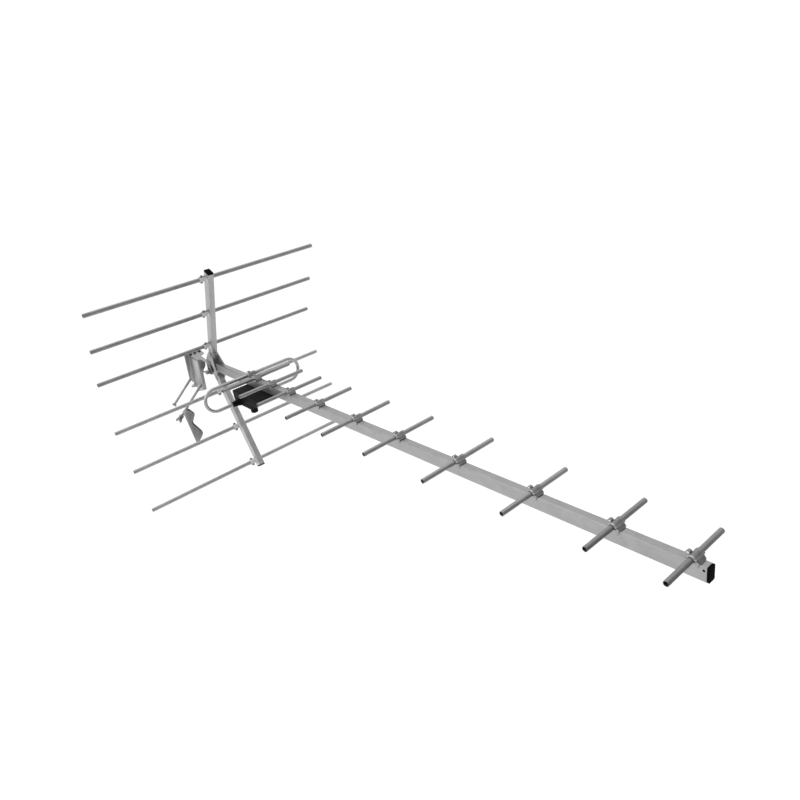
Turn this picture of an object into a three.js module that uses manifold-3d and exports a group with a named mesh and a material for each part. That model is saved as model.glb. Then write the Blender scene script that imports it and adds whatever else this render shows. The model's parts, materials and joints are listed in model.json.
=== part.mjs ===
// UHF yagi antenna: a rectangular boom with ten directors, a folded dipole with its junction box,
// a V-shaped reflector of two folding arms with six rods, and a tilting mast clamp.
//
// Dimensions are in millimetres, X along the boom towards the front, Y along the elements, Z up.
// They are measured from a datum on the boom's centre line abreast of the innermost rods. Every
// piece is then moved so that the mast pad on the clamp's web lies at the origin.
import * as THREE from 'three';
import { mergeVertices } from 'three/addons/utils/BufferGeometryUtils.js';
import Module from 'manifold-3d';

const wasm = await Module();
wasm.setup();

// ---- driving dimensions -------------------------------------------------------------------
const GAP = 0.3;                       // clearance between pieces that touch
const BOOM = { rear: 6, front: 1248, width: 13, height: 22, wall: 1.2, radius: 1.4 };
const CAP = { face: 3, tongue: 9 };  // plugs in the open ends of boom and arms
const TAB = { behindFront: 3.6, size: 2.4, z: 5 };

const TUBE_R = 4;                      // directors and dipole, 8 mm outside
const ROD_R = 4.6;                     // reflector rods
const TUBE_WALL = 0.8;
const ELEMENT_Z = BOOM.height / 2 + TUBE_R + GAP;
const DIRECTOR_X = [200, 266, 342, 451, 574, 697, 842, 994, 1125, 1230];
const DIRECTOR_LENGTH = [172, 160, 158, 158, 158, 158, 156, 141, 132, 125];

const CLIP = { width: 22, sheet: 1.2, foot: 6, front: 11, rear: 6.5 };

const ARM = { depth: 20, width: 14, wall: 1.2, radius: 1.4, start: 22, end: 274 };
const ARM_LEAN = 26 * Math.PI / 180;   // from the vertical, forwards
const ARM_APEX_X = -24.7;
const ARM_PIVOT = 34;                  // stations along an arm, from the apex
const ROD_STATION = [259.2, 162.4, 65.7];
const ROD_SETBACK = 4;
const ROD_LENGTH = 562;

const DIPOLE = { x: 175, top: 18, bottom: -34, half: 121, gap: 16 };
const BOX = { rear: 148, front: 267, near: 43, far: 34, top: -11.4, brow: -20, split: -34, wall: 2 };
const LID = { rear: 148, front: 237, floorFront: 222, bottom: -43 };
const INLET = { x: 213, y: -31, flangeR: 7, shellR: 4.8, hexR: 6.2, boreR: 2.6 };
const LID_SCREW = { x: 206, y: 24, r: 1.8, headR: 3.4 };

const CHEEK = { inner: 7.4, outer: 9.4 };
const TILT = { x: -30, z: -14 };
// The mast bracket is drawn upright around the tilt bolt, then leans forward by BRACKET_LEAN.
const BRACKET_LEAN = 10 * Math.PI / 180;
const BRACKET = {
  lip: -68, front: -22, tail: -94, sheet: 2.5, top: 30, shelf: 28, bottom: -58, low: -66, web: -30,
  lipEdge: -42, flangeEdge: -20,
};
const LUG_Y = -CHEEK.outer - GAP;

const BOLT_R = 3.5;
const BOLT_AXIS = new THREE.Vector3(0.05, -0.79, -0.61).normalize();
const BOLT_HEAD_AT = -8.4;
const BOLT_REAR_HOLE = webPoint(-86, -48);
const BOLT_FRONT_HOLE = webPoint(-31, -45.7);
const BOLT_REAR_REACH = 82;
const JAW = { at: 80.6, length: 92, depth: 21, notch: 7.5, width: 18, sheet: 2.2, hole: 6 };
const JAW_DOWN = new THREE.Vector3(0.208, 0.042, -0.977).normalize();
const JAW_SIGHT = new THREE.Vector3(0.73, -0.542, 0.416);

const DATUM = webPoint(-48, -20);      // centre of the mast pad

// ---- materials ------------------------------------------------------------------------------
function metal(color, roughness) {
  return new THREE.MeshStandardMaterial({ color, roughness, metalness: 0.9 });
}
const ALUMINIUM = metal(0xb9babb, 0.42);
const TUBING = metal(0xa2a3a4, 0.38);
const STAMPED = metal(0x8d8e8f, 0.5);
const ZINC = metal(0xa7a8a8, 0.36);
const BLACK = new THREE.MeshStandardMaterial({ color: 0x1b1b1c, roughness: 0.6, metalness: 0 });
const BOARD = new THREE.MeshStandardMaterial({ color: 0x3f5a3a, roughness: 0.6, metalness: 0 });

// ---- solids ---------------------------------------------------------------------------------
// Leans a geometry or a point drawn around the tilt bolt into the bracket's place.
function leant(drawn) {
  const turn = new THREE.Matrix4().makeRotationY(BRACKET_LEAN).setPosition(TILT.x, 0, TILT.z);
  return drawn.applyMatrix4(turn);
}

function webPoint(x, z) {
  return leant(new THREE.Vector3(x, BRACKET.web, z));
}

// Turns a closed three.js geometry into a solid that can be joined and cut.
function solid(geometry) {
  const bare = geometry.index ? geometry.toNonIndexed() : geometry.clone();
  bare.deleteAttribute('normal');
  bare.deleteAttribute('uv');
  const merged = mergeVertices(bare, 1e-4);
  return new wasm.Manifold(new wasm.Mesh({
    numProp: 3,
    vertProperties: new Float32Array(merged.attributes.position.array),
    triVerts: new Uint32Array(merged.index.array),
  }));
}

// The same solid as a three.js geometry again.
function shell(body) {
  const mesh = body.getMesh();
  const geometry = new THREE.BufferGeometry();
  const points = new Float32Array(mesh.vertProperties);
  geometry.setAttribute('position', new THREE.BufferAttribute(points, 3));
  geometry.setIndex(new THREE.BufferAttribute(new Uint32Array(mesh.triVerts), 1));
  geometry.computeVertexNormals();
  return geometry;
}

// Joins the first list of geometries and cuts the second list from the result.
function built(added, removed = []) {
  const whole = added.map(solid).reduce((sum, next) => sum.add(next));
  return shell(removed.map(solid).reduce((rest, next) => rest.subtract(next), whole));
}

function box(x0, x1, y0, y1, z0, z1) {
  const geometry = new THREE.BoxGeometry(x1 - x0, y1 - y0, z1 - z0);
  return geometry.translate((x0 + x1) / 2, (y0 + y1) / 2, (z0 + z1) / 2);
}

function extrude(shape, depth, curveSegments = 4) {
  return new THREE.ExtrudeGeometry(shape, { depth, steps: 1, bevelEnabled: false, curveSegments });
}

// A shape drawn in X (across) and Z (up), reaching from y0 to y1.
function plateXZ(shape, y0, y1, curveSegments = 4) {
  return extrude(shape, y1 - y0, curveSegments).rotateX(Math.PI / 2).translate(0, y1, 0);
}

// A shape drawn in Y (across) and Z (up), reaching from x0 to x1.
function plateYZ(shape, x0, x1, curveSegments = 4) {
  const turn = new THREE.Matrix4().makeBasis(
    new THREE.Vector3(0, 1, 0), new THREE.Vector3(0, 0, 1), new THREE.Vector3(1, 0, 0));
  return extrude(shape, x1 - x0, curveSegments).applyMatrix4(turn).translate(x0, 0, 0);
}

// A shape drawn in X (across) and Y (up the page), reaching from z0 to z1.
function plateXY(shape, z0, z1) {
  return extrude(shape, z1 - z0).translate(0, 0, z0);
}

function barY(radius, y0, y1, x, z, sides = 16) {
  return new THREE.CylinderGeometry(radius, radius, y1 - y0, sides).translate(x, (y0 + y1) / 2, z);
}

function barZ(radius, z0, z1, x, y, sides = 16) {
  const geometry = new THREE.CylinderGeometry(radius, radius, z1 - z0, sides).rotateX(Math.PI / 2);
  return geometry.translate(x, y, (z0 + z1) / 2);
}

function polygon(points) {
  return new THREE.Shape(points.map(([x, y]) => new THREE.Vector2(x, y)));
}

// A rectangle with round corners, centred on the origin.
function roundRect(width, height, radius) {
  const shape = new THREE.Shape();
  const x = width / 2 - radius;
  const y = height / 2 - radius;
  shape.absarc(x, y, radius, 0, Math.PI / 2);
  shape.absarc(-x, y, radius, Math.PI / 2, Math.PI);
  shape.absarc(-x, -y, radius, Math.PI, Math.PI * 1.5);
  shape.absarc(x, -y, radius, Math.PI * 1.5, Math.PI * 2);
  shape.closePath();
  return shape;
}

// The outline of a plate stretched over discs, each [x, y, radius].
function stretched(discs) {
  const points = discs.flatMap(([x, y, radius]) => Array.from({ length: 24 }, (_, step) => {
    const turn = (step / 24) * Math.PI * 2;
    return new THREE.Vector2(x + radius * Math.cos(turn), y + radius * Math.sin(turn));
  }));
  points.sort((a, b) => a.x - b.x || a.y - b.y);
  const turnsLeft = (a, b, c) => (b.x - a.x) * (c.y - a.y) - (b.y - a.y) * (c.x - a.x) > 1e-6;
  const half = (list) => list.reduce((chain, point) => {
    while (chain.length > 1 && !turnsLeft(chain.at(-2), chain.at(-1), point)) {
      chain.pop();
    }
    chain.push(point);
    return chain;
  }, []);
  const lower = half(points);
  const upper = half([...points].reverse());
  return new THREE.Shape([...lower.slice(0, -1), ...upper.slice(0, -1)]);
}

// Moves a geometry so that its own axes run along the given ones from the given point.
function placed(geometry, xAxis, yAxis, zAxis, origin) {
  return geometry.applyMatrix4(new THREE.Matrix4().makeBasis(xAxis, yAxis, zAxis).setPosition(origin));
}

// Moves a geometry so that its own +Z runs along a direction from a point.
function aimed(geometry, direction, origin) {
  const turn = new THREE.Quaternion().setFromUnitVectors(new THREE.Vector3(0, 0, 1), direction);
  return geometry.applyQuaternion(turn).translate(origin.x, origin.y, origin.z);
}

const antenna = new THREE.Group();
antenna.name = 'yagi_antenna';

function addMesh(name, geometry, material) {
  const mesh = new THREE.Mesh(geometry, material);
  mesh.name = name;
  mesh.position.copy(DATUM).negate();
  antenna.add(mesh);
}

// ---- boom -------------------------------------------------------------------------------------
// A hollow rectangular tube along Z: width along X, height along Y.
function rectTube(width, height, wall, radius, z0, z1) {
  const shape = roundRect(width, height, radius);
  shape.holes.push(roundRect(width - 2 * wall, height - 2 * wall, 0.4));
  return extrude(shape, z1 - z0, 2).translate(0, 0, z0);
}

// A plug for the end of such a tube at endZ: an outer face and a tongue that fits the bore.
function plug(width, height, wall, endZ) {
  const inset = 2 * (wall + GAP);
  const face = extrude(roundRect(width, height, 1.4), CAP.face, 2);
  const tongue = extrude(roundRect(width - inset, height - inset, 0.6), CAP.tongue, 2);
  return [face.translate(0, 0, endZ + GAP), tongue.translate(0, 0, endZ + 1 - CAP.tongue)];
}

// Lays pieces drawn along Z along X instead, their height upright.
function lain(geometry) {
  return placed(geometry, new THREE.Vector3(0, 1, 0), new THREE.Vector3(0, 0, 1),
    new THREE.Vector3(1, 0, 0), new THREE.Vector3());
}

function tabBox(grow, reach) {
  const x = BOOM.front - TAB.behindFront;
  const half = TAB.size / 2 + grow;
  return box(x - half, x + half, -reach, 0, TAB.z - half, TAB.z + half);
}

addMesh('boom', built(
  [lain(rectTube(BOOM.width, BOOM.height, BOOM.wall, BOOM.radius, BOOM.rear, BOOM.front))],
  [tabBox(GAP, BOOM.width)]), ALUMINIUM);
addMesh('boom_cap_front', built(
  [...plug(BOOM.width, BOOM.height, BOOM.wall, BOOM.front).map(lain), tabBox(0, BOOM.width / 2 + 0.6)]),
  BLACK);

// ---- directors and their clips ------------------------------------------------------------------
function elementTube(radius, length, x, z) {
  const ring = new THREE.Shape();
  ring.absarc(0, 0, radius, 0, Math.PI * 2);
  const bore = new THREE.Path();
  bore.absarc(0, 0, radius - TUBE_WALL, 0, Math.PI * 2, true);
  ring.holes.push(bore);
  return extrude(ring, length, 8).rotateX(-Math.PI / 2).translate(x, -length / 2, z);
}

// A stamped saddle over a tube that lies across the boom. The tube's axis is at height axisZ.
// The skirts slope down to the boom, and their corners reach down past its edges.
function saddleClip(x, axisZ) {
  const inner = TUBE_R + GAP;
  const outer = inner + CLIP.sheet;
  const deck = BOOM.height / 2 - axisZ;
  const low = deck - CLIP.foot;
  const lean = 0.5;
  const outline = new THREE.Shape();
  outline.moveTo(CLIP.front, low);
  outline.lineTo(CLIP.front, deck + 1);
  outline.lineTo(outer * Math.cos(lean), outer * Math.sin(lean));
  outline.absarc(0, 0, outer, lean, Math.PI - 0.1, false);
  outline.lineTo(-CLIP.rear, low + 2);
  outline.lineTo(-CLIP.rear + CLIP.sheet, low + 2);
  outline.absarc(0, 0, inner, Math.PI - 0.1, lean, true);
  outline.lineTo(CLIP.front - CLIP.sheet, deck + 0.7);
  outline.lineTo(CLIP.front - CLIP.sheet, low);
  outline.closePath();

  const curl = new THREE.Shape();
  curl.absarc(-outer - 2.1, 3.4, 3.4, -0.9, Math.PI * 0.9, false);
  curl.absarc(-outer - 2.1, 3.4, 2.2, Math.PI * 0.9, -0.9, true);
  curl.closePath();

  const half = BOOM.width / 2 + GAP;
  const cuts = [box(-30, 30, -half, half, low - 5, deck + GAP)];
  for (const side of [-1, 1]) {
    const corner = side * CLIP.width / 2;
    const wedge = polygon([[corner + side, deck + 1], [corner + side, low - 1], [side * (half + 1.4), low - 1]]);
    cuts.push(plateYZ(wedge, -30, 30));
  }
  return built([plateXZ(outline, -CLIP.width / 2, CLIP.width / 2, 5), plateXZ(curl, -3, 3, 5)], cuts)
    .translate(x, 0, axisZ);
}

DIRECTOR_X.forEach((x, index) => {
  addMesh(`director_${index + 1}`, elementTube(TUBE_R, DIRECTOR_LENGTH[index], x, ELEMENT_Z), TUBING);
  addMesh(`director_clip_${index + 1}`, saddleClip(x, ELEMENT_Z), STAMPED);
});

// ---- folded dipole ------------------------------------------------------------------------------
// A round bar swept through points of the plane x = DIPOLE.x, each { y, z } with a heading angle.
function sweptBar(stations, radius, sides) {
  const points = [];
  for (const { y, z, heading } of stations) {
    for (let side = 0; side < sides; side += 1) {
      const turn = (side / sides) * Math.PI * 2;
      const across = radius * Math.cos(turn);
      points.push(DIPOLE.x + radius * Math.sin(turn));
      points.push(y - across * Math.sin(heading), z + across * Math.cos(heading));
    }
  }
  const triangles = [];
  for (let ring = 0; ring < stations.length - 1; ring += 1) {
    for (let side = 0; side < sides; side += 1) {
      const a = ring * sides + side;
      const b = ring * sides + (side + 1) % sides;
      triangles.push(a, b, a + sides, b, b + sides, a + sides);
    }
  }
  const last = (stations.length - 1) * sides;
  for (let side = 1; side < sides - 1; side += 1) {
    triangles.push(0, side + 1, side, last, last + side, last + side + 1);
  }
  const geometry = new THREE.BufferGeometry();
  geometry.setAttribute('position', new THREE.BufferAttribute(new Float32Array(points), 3));
  geometry.setIndex(triangles);
  return geometry;
}

function dipoleStations() {
  const radius = (DIPOLE.top - DIPOLE.bottom) / 2;
  const middle = (DIPOLE.top + DIPOLE.bottom) / 2;
  const bendY = DIPOLE.half - radius;
  const stations = [{ y: DIPOLE.gap / 2, z: DIPOLE.bottom, heading: 0 }];
  const steps = 12;
  for (const side of [1, -1]) {
    for (let step = 0; step <= steps; step += 1) {
      const turn = (step / steps) * Math.PI;
      const angle = side > 0 ? turn - Math.PI / 2 : turn + Math.PI / 2;
      stations.push({
        y: side * bendY + radius * Math.cos(angle),
        z: middle + radius * Math.sin(angle),
        heading: angle + Math.PI / 2,
      });
    }
  }
  stations.push({ y: -DIPOLE.gap / 2, z: DIPOLE.bottom, heading: Math.PI * 2 });
  return stations;
}

const SCREW = { y: DIPOLE.gap / 2 + 7, r: 1.8, headR: 3.6, headTop: DIPOLE.bottom - TUBE_R - GAP };
addMesh('folded_dipole', built([sweptBar(dipoleStations(), TUBE_R, 16)],
  [-1, 1].map((side) => barZ(SCREW.r + GAP, -60, -20, DIPOLE.x, side * SCREW.y, 12))), TUBING);

// The dipole's saddle: the same stamping on a low pad that lifts the tube clear of the boom.
{
  const clip = saddleClip(DIPOLE.x, DIPOLE.top);
  const padTop = DIPOLE.top - TUBE_R - GAP;
  const pad = box(DIPOLE.x - 8, DIPOLE.x + 10.5, -6, 6, BOOM.height / 2 + GAP, padTop);
  addMesh('dipole_clip', built([clip, pad]), STAMPED);
}

// ---- junction box -------------------------------------------------------------------------------
function boxProfile(inset, low) {
  return polygon([
    [BOX.rear + inset, BOX.top - inset], [BOX.rear + inset, low],
    [LID.front - inset, low], [LID.front - inset, BOX.split],
    [BOX.front - inset, BOX.brow + inset / 2], [BOX.front - inset, BOX.top - inset],
  ]);
}
const BORE_AT_WALL = () => barY(TUBE_R + GAP, -60, 60, DIPOLE.x, DIPOLE.bottom);
const BOARD_Z = { low: -26.6, high: -25 };
const STANDOFF = [[185, -28], [185, 26], [226, -28], [226, 26]];
{
  const base = [plateXZ(boxProfile(0, BOX.split + GAP / 2), -BOX.near, BOX.far)];
  const hollow = [plateXZ(boxProfile(BOX.wall, BOX.split - 1), -BOX.near + BOX.wall, BOX.far - BOX.wall)];
  addMesh('box_base', shell(solid(built(base, hollow))
    .add(STANDOFF.map(([x, y]) => solid(barZ(3, BOARD_Z.high + GAP, BOX.top - 1, x, y, 12)))
      .reduce((sum, next) => sum.add(next)))
    .subtract(solid(BORE_AT_WALL()))), BLACK);

  const side = polygon([
    [LID.rear, BOX.split - GAP / 2], [LID.rear + 3, LID.bottom],
    [LID.floorFront, LID.bottom], [LID.front, BOX.split - GAP / 2],
  ]);
  const inside = polygon([
    [LID.rear + BOX.wall, BOX.split + 1], [LID.rear + 3 + BOX.wall, LID.bottom + 1.8],
    [LID.floorFront - BOX.wall, LID.bottom + 1.8], [LID.front - BOX.wall - 1, BOX.split + 1],
  ]);
  addMesh('box_lid', built([plateXZ(side, -BOX.near, BOX.far)],
    [plateXZ(inside, -BOX.near + BOX.wall, BOX.far - BOX.wall), BORE_AT_WALL(),
      barZ(INLET.shellR + GAP, -60, -30, INLET.x, INLET.y),
      barZ(LID_SCREW.r + GAP, -60, -30, LID_SCREW.x, LID_SCREW.y, 12)]), BLACK);
}
addMesh('balun_board', built([box(158, 232, -36, 30, BOARD_Z.low, BOARD_Z.high)],
  [-1, 1].map((side) => barZ(SCREW.r + GAP, -60, -20, DIPOLE.x, side * SCREW.y, 12))), BOARD);
for (const [name, side] of [['left', -1], ['right', 1]]) {
  const y = side * SCREW.y;
  addMesh(`terminal_screw_${name}`, built([
    barZ(SCREW.r, SCREW.headTop - 1, -20, DIPOLE.x, y, 12),
    barZ(SCREW.headR, SCREW.headTop - 2.2, SCREW.headTop, DIPOLE.x, y, 16),
  ]), ZINC);
  const sleeve = new THREE.LatheGeometry([
    [TUBE_R + GAP, 0], [8.5, 0], [8.5, 3], [7.6, 4], [6, 18], [5.6, 19], [TUBE_R + GAP, 19],
    [TUBE_R + GAP, 0],
  ].map(([radius, along]) => new THREE.Vector2(radius, along)), 24);
  if (side < 0) {
    sleeve.rotateZ(Math.PI);
  }
  addMesh(`dipole_sleeve_${name}`, shell(solid(sleeve)).translate(DIPOLE.x,
    side < 0 ? -BOX.near - GAP : BOX.far + GAP, DIPOLE.bottom), BLACK);
}
// The coaxial inlet: a flange inside the lid, a hexagon outside it, and a threaded barrel.
addMesh('f_connector', built([
  barZ(INLET.flangeR, LID.bottom + 1.8 + GAP, LID.bottom + 4.4, INLET.x, INLET.y, 20),
  barZ(INLET.shellR, LID.bottom - 3, LID.bottom + 3, INLET.x, INLET.y, 20),
  barZ(INLET.hexR, LID.bottom - 4, LID.bottom - GAP, INLET.x, INLET.y, 6),
  barZ(INLET.shellR - 0.1, LID.bottom - 12, LID.bottom - 3, INLET.x, INLET.y, 20),
], [barZ(INLET.boreR, LID.bottom - 13, LID.bottom - 5, INLET.x, INLET.y, 12)]), ZINC);
addMesh('lid_screw', built([
  barZ(LID_SCREW.r, LID.bottom - 1, LID.bottom + 8, LID_SCREW.x, LID_SCREW.y, 12),
  barZ(LID_SCREW.headR, LID.bottom - 2.4, LID.bottom - GAP, LID_SCREW.x, LID_SCREW.y, 16),
]), ZINC);

// ---- hub and reflector arms -----------------------------------------------------------------------
function armPoint(station, side) {
  const x = ARM_APEX_X + station * Math.sin(ARM_LEAN);
  return new THREE.Vector3(x, 0, side * station * Math.cos(ARM_LEAN));
}

// Moves a geometry drawn on an upright arm, its front towards +X, onto the upper or lower arm.
function onArm(geometry, side) {
  if (side < 0) {
    geometry.rotateZ(Math.PI);
  }
  geometry.rotateY(side > 0 ? ARM_LEAN : Math.PI - ARM_LEAN);
  return geometry.translate(ARM_APEX_X, 0, 0);
}

const RIVET_R = 3;
const RIVET_HEAD = { r: 5.2, height: 2.2 };
// The far cheek joins the boom, both arms and the tilt bolt. The near one stops above the lower arm.
{
  const upper = armPoint(ARM_PIVOT, 1);
  const lower = armPoint(ARM_PIVOT, -1);
  const far = stretched([
    [upper.x, upper.z, 9.5], [lower.x, lower.z, 9.5], [18, 0, 9], [TILT.x, TILT.z, 10],
    [TILT.x, -TILT.z, 8],
  ]);
  const near = stretched([[upper.x, upper.z, 9.5], [-28, 14, 9], [-6, 2, 6], [-9, -12, 9], [TILT.x, TILT.z, 8]]);
  const holes = [upper, lower].map((pivot) => barY(RIVET_R + GAP, -20, 20, pivot.x, pivot.z));
  addMesh('hub_bracket', built([
    plateXZ(near, -CHEEK.outer, -CHEEK.inner),
    plateXZ(far, CHEEK.inner, CHEEK.outer),
    box(-38, -36, -CHEEK.outer + 0.5, CHEEK.outer - 0.5, -13, 13),
  ], [...holes, barY(BOLT_R + GAP, -20, 20, TILT.x, TILT.z)]), ZINC);
}

for (const [name, side] of [['upper', 1], ['lower', -1]]) {
  const bores = ROD_STATION.map((station) => barY(ROD_R + GAP, -20, 20, -ROD_SETBACK, station));
  bores.push(barY(RIVET_R + GAP, -20, 20, 0, ARM_PIVOT));
  addMesh(`arm_${name}`, onArm(built(
    [rectTube(ARM.depth, ARM.width, ARM.wall, ARM.radius, ARM.start, ARM.end)], bores), side), ALUMINIUM);
  addMesh(`arm_cap_${name}`, onArm(built(plug(ARM.depth, ARM.width, ARM.wall, ARM.end)), side), BLACK);
  const pivot = armPoint(ARM_PIVOT, side);
  const far = CHEEK.outer + GAP;
  const near = side > 0 ? far : ARM.width / 2 + GAP;
  addMesh(`arm_pin_${name}`, built([
    barY(RIVET_R, -near - 1, far + 1, pivot.x, pivot.z),
    barY(RIVET_HEAD.r, -near - RIVET_HEAD.height, -near, pivot.x, pivot.z),
    barY(RIVET_HEAD.r, far, far + RIVET_HEAD.height, pivot.x, pivot.z),
  ]), ZINC);
}

// A rod's clip beside the arm, centred on the rod: a strap across the arm's side, which reaches to
// the arm's front edge, a sleeve along the rod, and a lug above and below the sleeve.
const ROD_CLIP = { rear: -6, front: 13, half: 6, sheet: 1.2, sleeve: 15, lugFrom: 6, lugTo: 12 };
const ROD_LUG = { half: 2, height: 3.5 };
function rodClip() {
  const face = -ARM.width / 2 - GAP;
  const inner = ROD_R + GAP;
  const outer = inner + ROD_CLIP.sheet;
  const { rear, front, half, sheet, sleeve, lugFrom, lugTo } = ROD_CLIP;
  const tip = outer + ROD_LUG.height;
  return built([
    box(rear, front, face - sheet, face, -half, half),
    barY(outer, face - sleeve, face, 0, 0),
    box(-ROD_LUG.half, ROD_LUG.half, face - lugTo, face - lugFrom, -tip, tip),
  ], [barY(inner, -60, 60, 0, 0)]);
}

for (const side of [1, -1]) {
  ROD_STATION.forEach((station, index) => {
    const number = side > 0 ? index + 1 : 6 - index;
    const rod = armPoint(station, side);
    rod.x -= ROD_SETBACK * Math.cos(ARM_LEAN);
    rod.z += side * ROD_SETBACK * Math.sin(ARM_LEAN);
    addMesh(`reflector_rod_${number}`, elementTube(ROD_R, ROD_LENGTH, rod.x, rod.z), TUBING);
    const clip = rodClip().rotateY(side * ARM_LEAN);
    addMesh(`rod_clip_${number}`, clip.translate(rod.x, 0, rod.z), STAMPED);
  });
}

// ---- mast clamp -----------------------------------------------------------------------------------
// A winged nut along +Z from its seat at zero.
function wingNut() {
  const hub = new THREE.CylinderGeometry(4.8, 6, 7, 20).rotateX(Math.PI / 2).translate(0, 0, 3.5);
  const wings = [-1, 1].map((side) => plateXZ(
    stretched([[side * 3, 3, 2.5], [side * 11, 11, 3.6], [side * 8, 5, 2]]), -1.3, 1.3));
  return built([hub, ...wings], [new THREE.CylinderGeometry(BOLT_R + GAP, BOLT_R + GAP, 40, 16)
    .rotateX(Math.PI / 2)]);
}

// A point on a clamp bolt, measured outwards from the middle of its hole in the web.
function alongBolt(hole, distance) {
  return hole.clone().addScaledVector(BOLT_AXIS, distance);
}

function bar(radius, from, to, sides = 16) {
  return new THREE.CylinderGeometry(radius, radius, to - from, sides).rotateX(Math.PI / 2)
    .translate(0, 0, (from + to) / 2);
}

// The bracket: a web, a narrow flange at its front, a notched lip, a shelf over the top and a lug
// for the tilt bolt, which hangs from the shelf beside the hub. The rear bolt's tail lies behind the lip.
{
  const { lip, front, tail, sheet, top, shelf, bottom, low, web, lipEdge, flangeEdge } = BRACKET;
  const webOutline = polygon([
    [front, shelf], [lip, shelf], [lip, 2], [tail, -14], [tail, -54], [tail + 5, -57], [lip - 4, -57],
    [lip, low], [lip + 8, low], [front - 28, low - 7], [front, bottom],
  ]);
  const notch = web - 2.5;
  const lipOutline = polygon([
    [web + 1, top], [lipEdge, top], [lipEdge, -37], [notch, -44], [notch, -55], [lipEdge, -60],
    [lipEdge, -62.5], [web - 3, low], [web + 1, low],
  ]);
  const shelfOutline = polygon([
    [lip - 6, web], [front, web], [front, flangeEdge], [8, LUG_Y - sheet - 4], [8, LUG_Y],
    [lip + 26, LUG_Y], [lip + 20, 4], [lip - 6, 4],
  ]);
  const lug = stretched([[0, 0, 9.5], [-9, shelf - 2, 1.5], [6, shelf - 2, 1.5]]);
  const holes = [-26, -14, -2].map((y) => barZ(2.8, shelf - 10, shelf + 10, lip + 3, y));
  addMesh('mast_bracket', built([
    leant(plateXZ(webOutline, web, web + sheet)),
    leant(box(front - sheet, front, web, flangeEdge, bottom, shelf)),
    leant(plateYZ(lipOutline, lip, lip + sheet)),
    leant(plateXY(shelfOutline, shelf - sheet, shelf)),
    leant(plateXZ(lug, LUG_Y - sheet, LUG_Y)),
  ], [
    aimed(bar(BOLT_R + 1.2, -20, 20), BOLT_AXIS, BOLT_REAR_HOLE),
    aimed(bar(BOLT_R + 1.2, -20, 20), BOLT_AXIS, BOLT_FRONT_HOLE),
    barY(BOLT_R + GAP, -25, 0, TILT.x, TILT.z),
    ...holes.map(leant),
  ]), ZINC);
}

const FRONT_REACH = JAW.at + 25;
addMesh('clamp_bolt_front', aimed(built([
  bar(BOLT_R, BOLT_HEAD_AT - 1, FRONT_REACH),
  bar(5, BOLT_HEAD_AT - 4, BOLT_HEAD_AT, 6),
]), BOLT_AXIS, BOLT_FRONT_HOLE), ZINC);
addMesh('clamp_bolt_rear', aimed(built([
  bar(BOLT_R, BOLT_HEAD_AT - 1, BOLT_REAR_REACH),
  bar(5, BOLT_HEAD_AT - 4, BOLT_HEAD_AT),
  bar(6.2, BOLT_REAR_REACH - 3, BOLT_REAR_REACH + 1.5, 6),
]), BOLT_AXIS, BOLT_REAR_HOLE), ZINC);
addMesh('clamp_nut', aimed(built([bar(6, 0, 4.2, 6)], [bar(BOLT_R + GAP, -1, 6)]),
  BOLT_AXIS, alongBolt(BOLT_FRONT_HOLE, JAW.at + 9)), ZINC);
addMesh('clamp_wing_nut', aimed(wingNut(), BOLT_AXIS, alongBolt(BOLT_FRONT_HOLE, JAW.at + 13.6)), ZINC);

// The jaw: a channel whose two flanges carry a notch between rounded lobes. It hangs from the
// front bolt by the hole near its upper end, its open side towards the bracket.
{
  const towardsBracket = JAW_SIGHT.clone().cross(JAW_DOWN).normalize();
  const up = JAW_DOWN.clone().negate();
  const across = up.clone().cross(towardsBracket);
  const half = JAW.width / 2;
  const d = JAW.depth;
  const flange = polygon([
    [0, 0], [0.45 * d, 0], [0.8 * d, -9], [d, -18], [0.95 * d, -23], [JAW.notch, -40],
    [0.76 * d, -56], [d, -67], [d, -75], [0.7 * d, -83], [0.2 * d, -JAW.length], [0, -JAW.length],
  ]).getPoints().map((point) => [point.x, point.y + JAW.hole]);
  const outline = () => polygon(flange);
  const jaw = built([
    box(0, JAW.sheet, -half, half, JAW.hole - JAW.length, JAW.hole),
    plateXZ(outline(), -half, -half + JAW.sheet),
    plateXZ(outline(), half - JAW.sheet, half),
  ]);
  const origin = alongBolt(BOLT_FRONT_HOLE, JAW.at);
  const bore = aimed(bar(BOLT_R + 0.8, -24, 14), BOLT_AXIS, origin);
  const hung = placed(jaw, towardsBracket, across, up, origin);
  addMesh('clamp_jaw', built([hung], [bore]), ZINC);
}

// The tilt bolt joins the hub's cheeks to the bracket's lug.
const TILT_SEAT = CHEEK.outer + GAP;
addMesh('tilt_bolt', built([
  barY(BOLT_R, LUG_Y - BRACKET.sheet - 12, TILT_SEAT + 1, TILT.x, TILT.z),
  barY(6, TILT_SEAT, TILT_SEAT + 4, TILT.x, TILT.z, 6),
]), ZINC);
addMesh('tilt_wing_nut', aimed(wingNut(), new THREE.Vector3(0, -1, 0),
  new THREE.Vector3(TILT.x, LUG_Y - BRACKET.sheet - GAP, TILT.z)), ZINC);

export default antenna;
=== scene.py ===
"""Looks of the yagi antenna: every CAD node gets a finely made visual piece with its own material.

Sizes are in millimetres, along X (boom), Y (elements) and Z (up), measured from the same datum as
the CAD part: on the boom's centre line, 6 mm behind its rear end. at() turns them into the frame.
"""
import json
import math
import bmesh
import bpy
from mathutils import Matrix, Vector


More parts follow.
